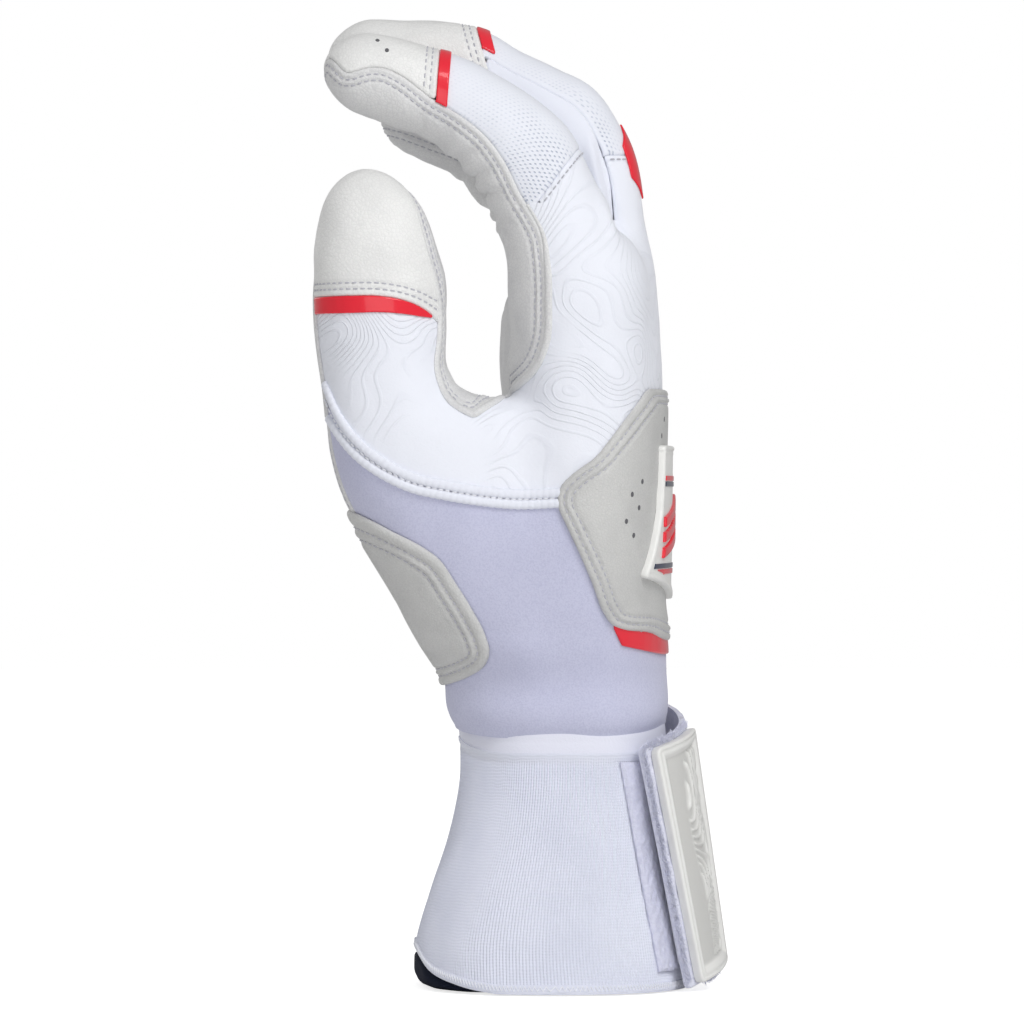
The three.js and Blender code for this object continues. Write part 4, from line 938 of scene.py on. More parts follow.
def glove_fields(points):
    x, y, z = points.T
    f = {"x": x, "y": y, "z": z}
    f["knuckle"] = knuckle_height(points) - 1.0
    f["thumb"] = np.minimum((z - x - 146) / math.sqrt(2), polygon_depth(THUMB_SIDE, x, z))
    # The far fingertips aren't the thumb's own
    f["thumb"] = np.minimum(f["thumb"], np.where(z > 170, -14.0 - y, 99.0))
    outline = np.r_[smooth_line(SIDE_EDGE, 1.2), [(-55, 209), (-70, 200), (-48, 190), (-28, 183)],
                    smooth_line(THUMB_EDGE, 1.2)[:-1]]
    near_side = polygon_depth(outline, x, z)
    crotch = step_up(x, -18, -13) * step_up(z, 112, 118) * (1 - step_up(z, 136, 142))
    heel = y - np.interp(z, *np.array(HEEL_LINE).T) - 8 * crotch
    turned = 0.8 * step_up(-x, 13, 17) * (y - np.interp(z, *np.array(THUMB_EDGE_Y).T))
    f["heel"] = np.maximum(heel, near_side + turned)
    far_seam = np.interp(y, FAR_SEAM_Y, FAR_SEAM_X) - x
    f["palm"] = np.minimum(far_seam, f["heel"])
    f["wrist_edge"] = np.minimum(far_seam, heel)
    f["cloth_u"], f["cloth_v"], f["cloth_w"] = z.copy(), x.copy(), np.zeros(len(z))
    for name, tube in TUBES.items():
        low, high = SLAB[name]
        s, n, w, a, b = tube.coords(points)
        around = np.arctan2(w / b, n / a)
        edge = -0.342 * a - n
        back = n - 0.471 * a
        if name == "index":
            edge = edge + (near_side - edge) * (1 - step_up(w, -3, 3))
            back = np.where(w < 0, INSIDE, back)
        if name == "little":
            back = np.where(w > 0, INSIDE, back)
        own = (y > low) & (y < high) & (f["knuckle"] > -3)
        f["cloth_u"] = np.where(own, s, f["cloth_u"])
        f["cloth_v"] = np.where(own, around * 10, f["cloth_v"])
        f[name + "_seam"] = beside(KNUCKLE_SEAMS[name], x, z)
        open_weave = (0.15 + 0.7 * hump(f[name + "_seam"], 0, 15)) * step_up(np.abs(around), 0.25, 1.0)
        f["cloth_w"] = np.where(own, open_weave, f["cloth_w"])
        f[name + "_slab"] = np.minimum(np.minimum(y - low, high - y), -f["thumb"])
        f[name + "_leather"], f[name + "_back"] = edge, back
        f[name + "_side"], f[name + "_along"], f[name + "_around"] = w, s, around
        f[name + "_cap"] = beside(CAP_LINES[name], x, z)
        f[name + "_trim"] = f[name + "_cap"] + TRIM_WIDTH
        within = np.minimum(tube.past(KNUCKLE_TRIM[0], points), -tube.past(KNUCKLE_TRIM[1], points))
        diamond = np.minimum(DIAMOND_HALF - np.abs(w) * 1.08, within - np.abs(w) * 0.9)
        f[name + "_diamond"] = np.where(np.abs(around) < 1.4, diamond, OUTSIDE)
        f[name + "_trim_side"] = (TRIM_REACH[name] - np.abs(around)) * 10
    f["thumb_cap"] = over_line(THUMB_CAP, x, z)
    f["thumb_trim"] = over_line(THUMB_TRIM_FOOT, x, z)
    f["back_seam"] = over_line(BACK_SEAM, x, z)
    f["foot"] = z - WAIST + sag(y)
    f["heel_patch"] = np.minimum(polygon_depth(smooth_line(HEEL_PATCH, 1.0), x, z), -2.0 - y)
    f["back_patch"] = polygon_depth(smooth_line(BACK_PATCH, 1.0), x, z)
    f["wrist_trim"] = polygon_depth(WRIST_TRIM, x, z)
    return f


def sag(y):
    """How much lower the waist's seam sits on the near side."""
    return 2.8 * step_up(-y, 3, 29)


# Heights of the fold by the index finger, and its x there
FOLD = [(164.3, 15.8), (169.3, 14.2), (175.8, 12.9), (185.6, 10.8)]
WRINKLE_PITCH, FINE_PITCH = 7.3, 3.1  # wrinkles across the fingers' inner side


def wrinkle(s, pitch, drift, softness):
    """Creases across a finger: from 0 in a crease, rounded by its softness, to 1 between two."""
    return np.sqrt(np.sin(math.pi * s / pitch + drift) ** 2 + softness)


def worn_relief(points, f):
    """How far wear pushes the surface out: wrinkles inside the fingers, soft folds, and the waist's bulge."""
    out = 0.22 * waves(points, 17, 3)
    for turn, name in enumerate(FINGERS):
        s = f[name + "_along"]
        own = (f[name + "_slab"] > 0) * step_up(f[name + "_leather"], 1.5, 6.5) * step_up(s, 0, 8)
        own = own * (1 - step_up(s, 48, 58)) * (0.2 + hump(s, 24, 13))
        drift = 1.1 * waves(points, 16, 50 + turn) + 1.3 * turn
        size = 0.75 + 0.5 * waves(points, 11, 60 + turn)
        out = out + own * size * (1.7 * wrinkle(s, WRINKLE_PITCH, drift, 0.03) - 1.2
                                  + 0.25 * wrinkle(s, FINE_PITCH, 2 * drift, 0.05))
    thumb_tip = step_up(f["thumb_cap"], 0, 5) * step_up(f["thumb"], 0, 5)
    out = out + thumb_tip * 0.13 * waves(points, 11, 5)
    palm = step_up(f["palm"], 2, 8) * (1 - step_up(f["knuckle"], -8, -2)) * step_up(f["z"], 66, 80)
    out = out + palm * 0.45 * waves(points * [1, .6, 1.4], 13, 8)
    over = points[:, 2] - WAIST + sag(points[:, 1])
    near = 0.25 + 0.75 * step_up(-points[:, 1], 5, 25)
    out = out + near * (1.1 * hump(over, 5.5, 4.0) - 0.9 * hump(over, 0, 1.7) - 0.35 * hump(over, 14, 4))
    side = points[:, 0] - np.interp(points[:, 2], *np.array(FOLD).T)
    fold = step_up(points[:, 2], 162, 168) * (1 - step_up(points[:, 2], 182, 190)) * (points[:, 1] < -14)
    return out + fold * (1.0 * hump(side, 0, 1.3) - 0.8 * hump(side, 2.3, 1.2))


def relaxed(points, triangles, weight, times):
    """Moves each point towards the middle of its neighbours, as far as its weight says."""
    a, b = sides_of(triangles).T
    count = np.bincount(a, minlength=len(points))[:, None]
    for _ in range(times):
        total = np.column_stack([np.bincount(a, points[b, k], len(points)) for k in range(3)])
        points = points + weight[:, None] * (total / count - points)
    return points


print("glove surface")
POINTS, TRIANGLES = glove_mesh()
THUMB_CURVE = step_up(POINTS[:, 2], 148, 156) * step_up(-POINTS[:, 0], 12, 16)
POINTS = relaxed(POINTS, TRIANGLES, 0.6 * THUMB_CURVE * (POINTS[:, 2] < 188), 14)
FIELDS = glove_fields(POINTS)
POINTS = POINTS + worn_relief(POINTS, FIELDS)[:, None] * vertex_normals(POINTS, TRIANGLES)
GLOVE = Surface.made(POINTS, TRIANGLES, FIELDS)
print("glove surface:", len(POINTS), "points")


# ---------------------------------------------------------------- bodies


def hold(obj, body, nodes=()):
    """Rides a piece on its body's empty, except that a piece on a whole finger, the thumb or the strap's fold
    only has its place baked; hides the nodes that it stands for.
    """
    if body in FINGERS:
        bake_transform(obj)
    elif body == "thumb":
        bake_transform(obj)
    elif body == "strap fold":
        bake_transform(obj)
    else:
        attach(obj, body.replace(" tip", ""))
    if nodes:
        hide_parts(*nodes)
    return obj


# ---------------------------------------------------------------- the hand

def seam(field, sign=1):
    """A limit with a rolled edge, on the side where the field has this sign."""
    return field, sign, "seam"


def cut(field, sign=1):
    """A limit where the next panel carries on."""
    return field, sign, "cut"


HAND_ONLY = [cut("knuckle", -1), cut("thumb", -1)]
SEAM_ROWS = (1.5, 2.8)  # stitch rows beside a leather edge
HEEL_ROWS, BACK_ROWS = (2.3, 4.1), (1.5, 3.1)
PATCH_EDGE = dict(bottom=0.25, roll=1.0, dip=0.8, finer=1, rings=4)
FILM_EDGE = dict(bottom=0.12, roll=0.3, dip=0.25)


def dents(field, levels, depth=0.3, width=0.45, ridge=0.0):
    """Stitch rows pull the surface in, and it stands up between them."""
    def shape(part):
        g = part[field]
        lift = sum(-depth * hump(g, level, width) for level in levels)
        return lift + ridge * hump(g, sum(levels) / 2, 0.6)
    return shape


def hide(field):
    """Leather that lies a little over the knit, sewn along this field's edge."""
    return dict(top=0.3, shape=dents(field, SEAM_ROWS, ridge=0.15), finer=1)


def cap(field):
    """A fingertip's thicker leather."""
    return dict(top=0.45, shape=dents(field, SEAM_ROWS, 0.25, 0.4), finer=1)


def lay(node, limits, body, slot, surface=GLOVE, **form):
    """The panel that stands for a node, cut in its slot's material and held on its body."""
    hold(panel(node + "_skin", surface, limits, slot, **form), body, [node])


def lay_hand():
    lay("palm_leather", HAND_ONLY + [cut("foot"), seam("palm")], "hand", "leather", **hide("palm"))
    lay("back_panel", HAND_ONLY + [seam("palm", -1), seam("back_seam")], "hand", "embossed_knit")
    lay("wrist_panel", [cut("knuckle", -1), cut("foot"), seam("wrist_edge", -1), seam("back_seam", -1)],
        "thumb", "neoprene")
    lay("heel_patch", [seam("heel_patch")], "thumb", "patch_leather", top=1.3,
        shape=dents("heel_patch", HEEL_ROWS, 0.4, 0.5, 0.15), **PATCH_EDGE)
    lay("back_patch", [seam("back_patch")], "hand", "patch_leather", top=1.35,
        shape=dents("back_patch", BACK_ROWS, 0.4, 0.4, 0.2), **PATCH_EDGE)
    lay("wrist_trim", [seam("wrist_trim")], "hand", "red_film", top=0.6, bottom=0.1, roll=0.4, dip=0.3)


def lay_finger(name):
    own = [cut(name + "_slab"), cut("knuckle")]
    leather, back, joint, tip = (name + end for end in ("_leather", "_back", "_seam", "_cap"))
    knit = own + [seam(leather, -1)]
    top = knit + [seam(back)]
    lay(name + "_palm_leather", own + [seam(leather)], name, "leather", **hide(leather))
    lay(name + "_knuckle_panel", top + [seam(joint, -1)], name, "embossed_knit",
        shape=dents(joint, (-1.6,), 0.25, 0.4))
    lay(name + "_back_mesh", top + [seam(joint), seam(tip, -1)], name, "mesh_knit")
    lay(name + "_tip_cap", knit + [seam(tip)], name + " tip", "tip_leather", **cap(tip))
    lay(name + "_trim", top + [seam(name + "_trim"), seam(tip, -1), seam(name + "_trim_side")],
        name + " tip", "red_film", top=0.55, **FILM_EDGE)
    for side, sign in (("near", -1), ("far", 1)):
        if (name, side) not in (("index", "near"), ("little", "far")):
            lay(name + "_gusset_" + side, knit + [seam(back, -1), seam(tip, -1), cut(name + "_side", sign)],
                name, "stretch_knit")
    if name in ("middle", "ring"):
        lay(name + "_knuckle_trim", own + [seam(name + "_diamond")], name, "red_film",
            top=0.5, bottom=0.1, roll=0.4, dip=0.25)


def lay_thumb():
    own = [cut("thumb")]
    knit = own + [seam("heel", -1)]
    lay("thumb_palm_leather", own + [seam("heel")], "thumb", "leather", **hide("heel"))
    lay("thumb_back", knit + [seam("thumb_cap", -1), seam("back_seam")], "thumb", "embossed_knit")
    lay("thumb_tip_cap", knit + [seam("thumb_cap")], "thumb", "tip_leather", **cap("thumb_cap"))
    lay("thumb_trim", knit + [seam("thumb_cap", -1), seam("thumb_trim")], "thumb", "red_film", top=0.5,
        **FILM_EDGE)


WELT_PITCH = 1.45


def puffed(run):
    return 1 - 0.1 * np.cos(math.pi * run / WELT_PITCH) ** 6


def fading(run):
    return 1 - 0.65 * step_up(run, run[-1] - 20, run[-1])


def lowered(line, by):
    """A line of points and normals, this far under the surface."""
    return np.column_stack([line[:, :3] - by * line[:, 3:6], line[:, 3:6]])


def lay_piping():
    """The welt's two ridges, and the bindings at the thumb's crotch."""
    keep = [("knuckle", -1, 0), ("wrist_edge", -1, 1.2), ("back_patch", -1, -0.9)]
    ridges = GLOVE.tracks("back_seam", 1.1, keep, 0.25) + GLOVE.tracks("back_seam", -1.1, keep, 0.25)
    under = [("knuckle", -1, 0), ("wrist_edge", -1, -0.8), ("back_patch", -1, -0.9)]
    ridges += [lowered(line, 1.0) for line in GLOVE.tracks("back_seam", 0.0, under, 0.25)]
    hold(swept("back_seam_welt_skin", ridges, oval(2.2, 1.7, 0.3), "stretch_knit", puffed), "thumb",
         ["back_seam_welt"])
    cap_edge = GLOVE.tracks("thumb_cap", 0.0, [("thumb", 1, 0), ("heel", -1, -0.8)])
    under = [lowered(line, 0.8) for line in cap_edge]
    hold(swept("thumb_cap_seam", under, oval(2.2, 1.0, 0.0), "leather"), "thumb")
    for piece, body, nodes, field, edge in (
            ("crotch_binding_skin", "hand", ["crotch_binding"], "palm",
             [("knuckle", -1, 0.3), ("x", 1, -15.3), ("z", 1, 125), ("y", -1, 18)]),
            ("thumb_binding", "thumb", (), "heel",
             [("x", -1, 14.3), ("z", 1, 125), ("thumb_cap", -1, -14), ("y", -1, 22)])):
        lines = GLOVE.tracks(field, -0.2, edge)
        upward = [line if line[0, 2] < line[-1, 2] else line[::-1] for line in lines]
        hold(swept(piece, upward, oval(1.8, 1.2, 0.2), "leather", fading), body, nodes)


def sew():
    """Every row of stitches, one piece for each body that it moves with."""
    def rows(field, levels, lift, keep=(), sign=1):
        return [(line, lift) for level in levels for line in GLOVE.tracks(field, sign * level, keep)]

    hand = [("knuckle", -1, 0.2), ("thumb", -1, 0.2)]
    palm_edge = rows("palm", SEAM_ROWS, 0.12, hand + [("foot", 1, 3)])
    hold(stitches("palm_stitches", palm_edge), "hand")
    hold(stitches("heel_patch_stitches", rows("heel_patch", HEEL_ROWS, 1.0)), "thumb")
    hold(stitches("back_patch_stitches", rows("back_patch", BACK_ROWS, 1.05)), "hand")
    welt = rows("back_seam", (0.0,), 0.6,
                [("knuckle", -1, 0), ("wrist_edge", -1, 0.5), ("back_patch", -1, 0.4)])
    hold(stitches("welt_stitches", welt, "white_thread", WELT_PITCH), "thumb")
    for name in FINGERS:
        own = [(name + "_slab", 1, 0.1), ("knuckle", 1, 0.2)]
        sewn = rows(name + "_leather", SEAM_ROWS, 0.12, own)
        sewn += rows(name + "_seam", (-1.0,), 0.12,
                     own + [(name + "_leather", -1, 0.6), (name + "_back", 1, 0.5)])
        hold(stitches(name + "_stitches", sewn), name)
        sewn = rows(name + "_cap", SEAM_ROWS, 0.3, own + [(name + "_leather", -1, 0.6)])
        hold(stitches(name + "_cap_stitches", sewn, pitch=1.8), name + " tip")
    sewn = rows("heel", SEAM_ROWS, 0.12, [("thumb", 1, 0.2)])
    sewn += rows("thumb_cap", SEAM_ROWS, 0.3, [("thumb", 1, 0.2), ("heel", -1, 0.6)])
    hold(stitches("thumb_stitches", sewn), "thumb")


# Vent holes: places in the side view
BACK_HOLES = [(20.9, 111.4), (18.8, 108.6), (20.2, 105.7), (17.6, 102.8), (19.1, 99.8), (25.8, 125.1),
              (25.2, 121.4)]
TIP_HOLES = [(-33.3, 204.4), (-35.4, 206.6)]


def near_point(x, z):
    """The point and normal of the glove's near side at this place of the side view."""
    p, n = GLOVE.points, GLOVE.normals
    off = (p[:, 0] - x) ** 2 + (p[:, 2] - z) ** 2 + 1e6 * (n[:, 1] > -0.1) + 1e6 * (p[:, 1] > -12)
    i = int(off.argmin())
    dx, dz = x - p[i, 0], z - p[i, 2]
    return p[i] + [dx, -(n[i, 0] * dx + n[i, 2] * dz) / n[i, 1], dz], n[i]


def vents(name, places, lift, radius=0.55):
    """Small punched holes, each a thin disc coloured dark as painted shade inside the hole."""
    profile = [(0.0, 0.05), (0.7, 0.06), (1.0, 0.04), (1.1, -0.1)]
    sides = 14
    turn = np.linspace(0, 2 * math.pi, sides, endpoint=False)
    points, faces = [], []
    for x, z in places:
        p, n = near_point(x, z)
        across = unit(np.cross(n, [0, 0, 1.0]))
        up = np.cross(across, n)
        base = len(points) * (2 + sides * (len(profile) - 1))
        ring = [np.array([p + (lift + profile[0][1]) * n])]
        for r, rise in profile[1:]:
            ring.append(p + (lift + rise) * n + radius * r * (np.cos(turn)[:, None] * across * 0.8
                                                              + np.sin(turn)[:, None] * up))
        ring.append(np.array([p + (lift - 0.2) * n]))
        points.append(np.concatenate(ring))
        last = base + 1 + sides * (len(profile) - 1)
        for k in range(sides):
            after = (k + 1) % sides
            faces.append((base, base + 1 + k, base + 1 + after))
            for row in range(len(profile) - 2):
                a, b = base + 1 + row * sides + k, base + 1 + row * sides + after
                faces += [(a, a + sides, b + sides), (a, b + sides, b)]
            end = base + 1 + (len(profile) - 2) * sides
            faces.append((end + k, last, end + after))
    return solid(name, np.concatenate(points), np.array(faces)[:, ::-1], "hole_shade")


print("hand")
lay_hand()
for finger in FINGERS:
    lay_finger(finger)
lay_thumb()
lay_piping()
sew()
hold(vents("back_patch_vents", BACK_HOLES, 1.4), "hand")
hold(vents("index_vents", TIP_HOLES, 0.47), "index tip")


# ---------------------------------------------------------------- the badge on the back patch

def grid_faces(rows, columns):
    a = (np.arange(rows - 1)[:, None] * columns + np.arange(columns - 1)[None]).ravel()
    return np.concatenate([np.column_stack([a, a + columns, a + columns + 1]),
                           np.column_stack([a, a + columns + 1, a + 1])])


BADGE_OUTLINE = [(-26.5, 119.3), (26.5, 119.3), (27.5, 105), (32.5, 90.8), (0, 85.3), (-32.5, 90.8),
                 (-27.5, 105)]
PATCH_TOP = 1.3  # the back patch's outer face above the skin
BADGE_TOP = 2.9
STRIPES = {"red": [(111.6, 112.6), (91.4, 92.4)], "navy": [(110.4, 111.4), (92.6, 93.6)]}
CHEVRONS = (107.6, 104.3, 101.0)  # their heights in the middle


def badge_surface(step=0.5):
    """The back of the hand under the badge, as a grid over Y and Z."""
    y, z = np.meshgrid(np.arange(-36, 36.01, step), np.arange(83, 122.01, step), indexing="ij")
    flat = np.column_stack([np.full(y.size, 40.0), y.ravel(), z.ravel()])
    for _ in range(40):
        flat[:, 0] -= np.clip(glove_field(flat), -2, 4) * 0.8
    depth = polygon_depth(BADGE_OUTLINE, flat[:, 1], flat[:, 2])
    fields = {"badge": depth, "floor": depth - 2.2}
    for colour, spans in STRIPES.items():
        fields[colour] = np.max([np.minimum(flat[:, 2] - a, b - flat[:, 2]) for a, b in spans], axis=0)
    rise = flat[:, 2] + 0.2 * np.abs(flat[:, 1])
    for turn, level in enumerate(CHEVRONS):
        fields["chevron_%d" % turn] = 1.15 - np.abs(rise - level)
    fields["chevron_side"] = 25.5 - np.abs(flat[:, 1])
    return Surface.made(flat, grid_faces(*y.shape), fields)


def badge_relief(part):
    """A rim, a groove, a second rim, and the floor inside them."""
    g = part["badge"]
    return -0.3 * step_up(g, 0.9, 1.2) + 0.12 * hump(g, 1.7, 0.25)


def lay_badge():
    surface = badge_surface()
    add = panel("badge_plate", surface, [seam("badge")], "badge_rubber", top=BADGE_TOP, bottom=PATCH_TOP,
                roll=0.6, dip=0.7, shape=badge_relief, finer=1, rings=4)
    hold(add, "hand", ["badge"])
    floor = BADGE_TOP - 0.3
    for field in STRIPES:
        add = panel("badge_stripes_" + field, surface, [seam("floor"), seam(field)], field + "_film",
                    top=floor + 0.22, bottom=floor - 0.2, roll=0.12, dip=0.1, finer=1, rings=2)
        hold(add, "hand")
    for turn in range(len(CHEVRONS)):
        name = "chevron_%d" % turn
        add = panel("badge_" + name, surface, [seam(name), seam("chevron_side")],
                    "red_film", top=floor + 0.7, bottom=floor - 0.2, roll=0.35, dip=0.4, finer=1)
        hold(add, "hand")


# ---------------------------------------------------------------- the cuff

CUFF = np.array([(0, .043, .502, .5), (.18, .034, .487, .485), (.38, .044, .446, .455), (.6, .066, .4, .42),
                 (.82, .081, .378, .402), (1, .083, .376, .398)])
CUFF_WALL, LINING, LINING_CURL, HEM_HEIGHT = 1.7, 1.2, 3.5, 2.0
HEM = np.array([(-.7, .2), (-.46, .15), (-.4, .075), (-.3, .03), (-.16, 0), (.9, 0)])
HEM = HEM * [CUFF_DEPTH, CUFF_HEIGHT]
SLIT_LOW, SLIT_HIGH = 0.5, 7.5  # y of the slit's sides, at the back
RIBS, RIB_SAMPLES = 288, 4
BAND_FOOT, BAND_TOP = 54.9, 59.3  # the smooth band between elastic and neoprene, at the wrist's far side


def superellipse(angle, a, b):
    power = 2 / SQUARENESS
    c, s = np.cos(angle), np.sin(angle)
    return a * np.sign(c) * np.abs(c) ** power, b * np.sign(s) * np.abs(s) ** power


def wrist_at(z, angle, grow):
    """A point round the cuff, or round the palm above it."""
    z, angle, grow = np.broadcast_arrays(np.asarray(z, float), angle, grow)
    middle, depth, breadth = np.moveaxis(hermite(CUFF[:, 0], CUFF[:, 1:], z / CUFF_HEIGHT), -1, 0)
    rows = [middle * CUFF_DEPTH, depth * CUFF_DEPTH, breadth * CUFF_BREADTH]
    upper = np.moveaxis(hermite(PALM[:, 0], PALM[:, 1:], (z - CUFF_HEIGHT) / HAND_LENGTH), -1, 0)
    over = [upper[0] * PALM_DEPTH, upper[1] * PALM_DEPTH, upper[2] * PALM_BREADTH]
    middle, a, b = (np.where(z <= CUFF_HEIGHT, low, high) for low, high in zip(rows, over))
    x, y = superellipse(angle, a + grow, b + grow)
    return np.stack([middle + x, y, z], -1)


def hem_height(x):
    return np.maximum(np.interp(x, *smooth_line(HEM, 0.8).T), 0.0)


def cuff_angles(count):
    """Angles round the cuff from one side of the slit to the other, even along its middle."""
    angle = np.linspace(0, 2 * math.pi, 4000)
    run = run_of(wrist_at(25.0, angle, 0.0))
    b = 0.45 * CUFF_BREADTH
    first, last = (math.asin((y / b) ** (SQUARENESS / 2)) for y in (SLIT_HIGH, SLIT_LOW))
    angle, run = np.r_[angle, angle[-1] + 1], np.r_[run, run[-1] + 30]
    ends = np.interp([first, 2 * math.pi + last - 1e-3], angle, run)
    return np.interp(np.linspace(*ends, count), run, angle)


def sheet(name, outer, inner, slot):
    """A closed sheet between two grids of points."""
    rows, columns = outer.shape[:2]
    size = rows * columns
    quads = (np.arange(rows - 1)[:, None] * columns + np.arange(columns - 1)[None]).ravel()
    top = np.column_stack([quads, quads + columns, quads + columns + 1, quads + 1])
    ring = np.concatenate([np.arange(rows - 1) * columns, (rows - 1) * columns + np.arange(columns - 1),
                           np.arange(rows - 1, 0, -1) * columns + columns - 1, np.arange(columns - 1, 0, -1)])
    after = np.roll(ring, -1)
    sides = np.column_stack([ring, ring + size, after + size, after])
    faces = np.concatenate([top, top[:, ::-1] + size, sides])
    return solid(name, np.concatenate([outer.reshape(-1, 3), inner.reshape(-1, 3)]), faces[:, ::-1], slot)


def lofted(angles, low, high, rows, grow):
    """A grid round the cuff between two heights of x, grown by grow(angle, share, z)."""
    share = np.linspace(0, 1, rows)[None, :]
    angle = angles[:, None] + 0 * share
    z = low(wrist_at(0.0, angles, 0.0)[:, 0])[:, None] * (1 - share) + high * share
    for _ in range(3):
        x = wrist_at(z, angle, 0.0)[..., 0]
        z = low(x) * (1 - share) + high * share
    return wrist_at(z, angle, grow(angle, share, z))


def ribbing(angle, share, z):
    """The elastic's outer face: ribs, soft waves and a lip at its top."""
    edge = np.minimum(share, 1 - share) * (BAND_FOOT - HEM_HEIGHT)
    rib = np.cos(2 * math.pi * np.arange(len(angle)) / RIB_SAMPLES)[:, None] * (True)
    soft = 0.35 * waves(wrist_at(z, angle, 0.0).reshape(-1, 3) * [1, 1, 0.6], 19, 21).reshape(z.shape)
    lip = 0.4 * step_up(share, 0.965, 0.985)
    return 0.12 * rib * (1 - step_up(share, 0.95, 0.97)) + soft * step_up(edge, 0, 6) + lip - 0.1


def level(grow):
    return lambda angle, share, z: grow + 0 * z


def lay_cuff():
    angles = cuff_angles(RIBS * RIB_SAMPLES + 1)
    top = (BAND_FOOT - sag(wrist_at(BAND_FOOT, angles, 0.0)[:, 1]))[:, None]
    low = lambda x: hem_height(x) + HEM_HEIGHT
    outer = lofted(angles, low, top, 60, ribbing)
    inner = lofted(angles, low, top, 60, level(-CUFF_WALL))
    hold(sheet("cuff_elastic_skin", outer, inner, "ribbed_elastic"), "hand",
         ["cuff_elastic"])
    lay_hem_and_lining(cuff_angles(240))
    lay_band()


def lay_hem_and_lining(angles):
    share = np.linspace(0, 1, 9)[None]
    angle = angles[:, None] + 0 * share
    z = hem_height(wrist_at(5.0, angle, 0.0)[..., 0]) + share * (HEM_HEIGHT + 0.1)
    round_off = 0.3 * np.sqrt(np.clip(1 - (2 * share - 1) ** 2, 0, 1))
    faces = [wrist_at(z, angle, grow + 0 * angle) for grow in (round_off, -CUFF_WALL)]
    hold(sheet("cuff_hem_skin", *faces, "ribbed_elastic"), "hand", ["cuff_hem"])
    z = np.r_[np.linspace(0.05, 14, 30), np.linspace(15, CUFF_HEIGHT, 20)][None]
    angle = angles[:, None] + 0 * z
    z = z + 0 * angle
    bare = step_up(hem_height(wrist_at(z, angle, 0.0)[..., 0]) - z, 0.2, 1.6)
    curl = LINING_CURL - np.sqrt(np.clip(LINING_CURL ** 2 - np.clip(LINING_CURL - z, 0, None) ** 2, 0, None))
    grow = -(CUFF_WALL + 0.2) * (1 - bare) - curl
    grow = grow + 0.25 * waves(wrist_at(z, angle, 0.0).reshape(-1, 3), 12, 5).reshape(angle.shape)
    faces = [wrist_at(z, angle, grow - thickness) for thickness in (0, LINING)]
    hold(sheet("cuff_lining_skin", *faces, "navy_lining"), "hand", ["cuff_lining"])


def lay_band():
    full = np.linspace(0, 2 * math.pi, 361)[:-1, None]
    share = np.linspace(0, 1, 14)[None]
    drop = sag(wrist_at(BAND_FOOT, full, 0.0)[..., 1])
    z = BAND_FOOT + share * (BAND_TOP - BAND_FOOT) - drop
    angle = full + 0 * share
    faces = [wrist_at(z, angle, grow + 0 * angle) for grow in (0.05 - 0.5 * share ** 2, -CUFF_WALL)]
    hold(tube_sheet("cuff_top_band_skin", *faces, "smooth_band"), "hand", ["cuff_top_band"])


def tube_sheet(name, outer, inner, slot):
    """A closed band: two grids that run right round."""
    rows, columns = outer.shape[:2]
    size = rows * columns
    a = np.arange(rows)[:, None] * columns
    b = (np.arange(rows)[:, None] + 1) % rows * columns
    k = np.arange(columns - 1)[None]
    top = np.stack([a + k, b + k, b + k + 1, a + k + 1], -1).reshape(-1, 4)
    rims = [np.column_stack([b.ravel(), a.ravel(), a.ravel() + size, b.ravel() + size]),
            np.column_stack([a.ravel(), b.ravel(), b.ravel() + size, a.ravel() + size]) + columns - 1]
    faces = np.concatenate([top, top[:, ::-1] + size] + rims)
    return solid(name, np.concatenate([outer.reshape(-1, 3), inner.reshape(-1, 3)]), faces, slot)


def lay_cuff_sewing():
    """The zigzag along the hem."""
    count = 441
    angle = np.linspace(0.2, 2 * math.pi, count)
    z = hem_height(wrist_at(5.0, angle, 0.0)[:, 0]) + 0.8 + 1.0 * (np.arange(count) % 2)
    p = wrist_at(z, angle, 0.28)
    zigzag = np.column_stack([p, unit(wrist_at(z, angle, 1.28) - p)])
    hold(swept("cuff_hem_zigzag", [zigzag], oval(0.34, 0.3, 0.08, 5), "white_thread"), "hand")


# ---------------------------------------------------------------- the strap

# Lengths in millimetres; anchor, root, bend and end are angles round the cuff
STRAP = dict(thickness=1.4, height=53.2, anchor=1.12, root=.74, bend=-.06, end=-.97, low=3.4, high=.4,
             drop=9.5, foot=.3, lean=.42)
LOOP, HOOK, GAP, TAB = 0.9, 0.7, 0.3, 2.0
WRIST_RADIUS = 0.42 * CUFF_BREADTH
FUZZ_FOOT, FUZZ_SIDE = 2.2, -8.0  # fibres stand only above this height and on this side of y


def strap_share(angle):
    return np.clip((STRAP["root"] - angle) / (STRAP["root"] - STRAP["end"]), 0, 1)


def strap_point(angle, height, out):
    """A point on the strap: how far round, how high, and how far off its inner face."""
    angle, height, out = np.broadcast_arrays(np.asarray(angle, float), height, out)
    share = strap_share(angle)
    foot = STRAP["foot"] + STRAP["drop"] * (1 - share)
    seat = 3 * GAP + LOOP + HOOK * np.minimum(1, share / 0.25)
    low_angle = np.where(angle < 0, angle * (1 - STRAP["lean"]), angle)
    low = wrist_at(foot, low_angle, seat + STRAP["low"] * np.sin(math.pi * share) + out)
    high = wrist_at(foot + STRAP["height"], angle, seat + STRAP["high"] * np.sin(math.pi * share) + out)
    return low + (high - low) * (height / STRAP["height"])[..., None]


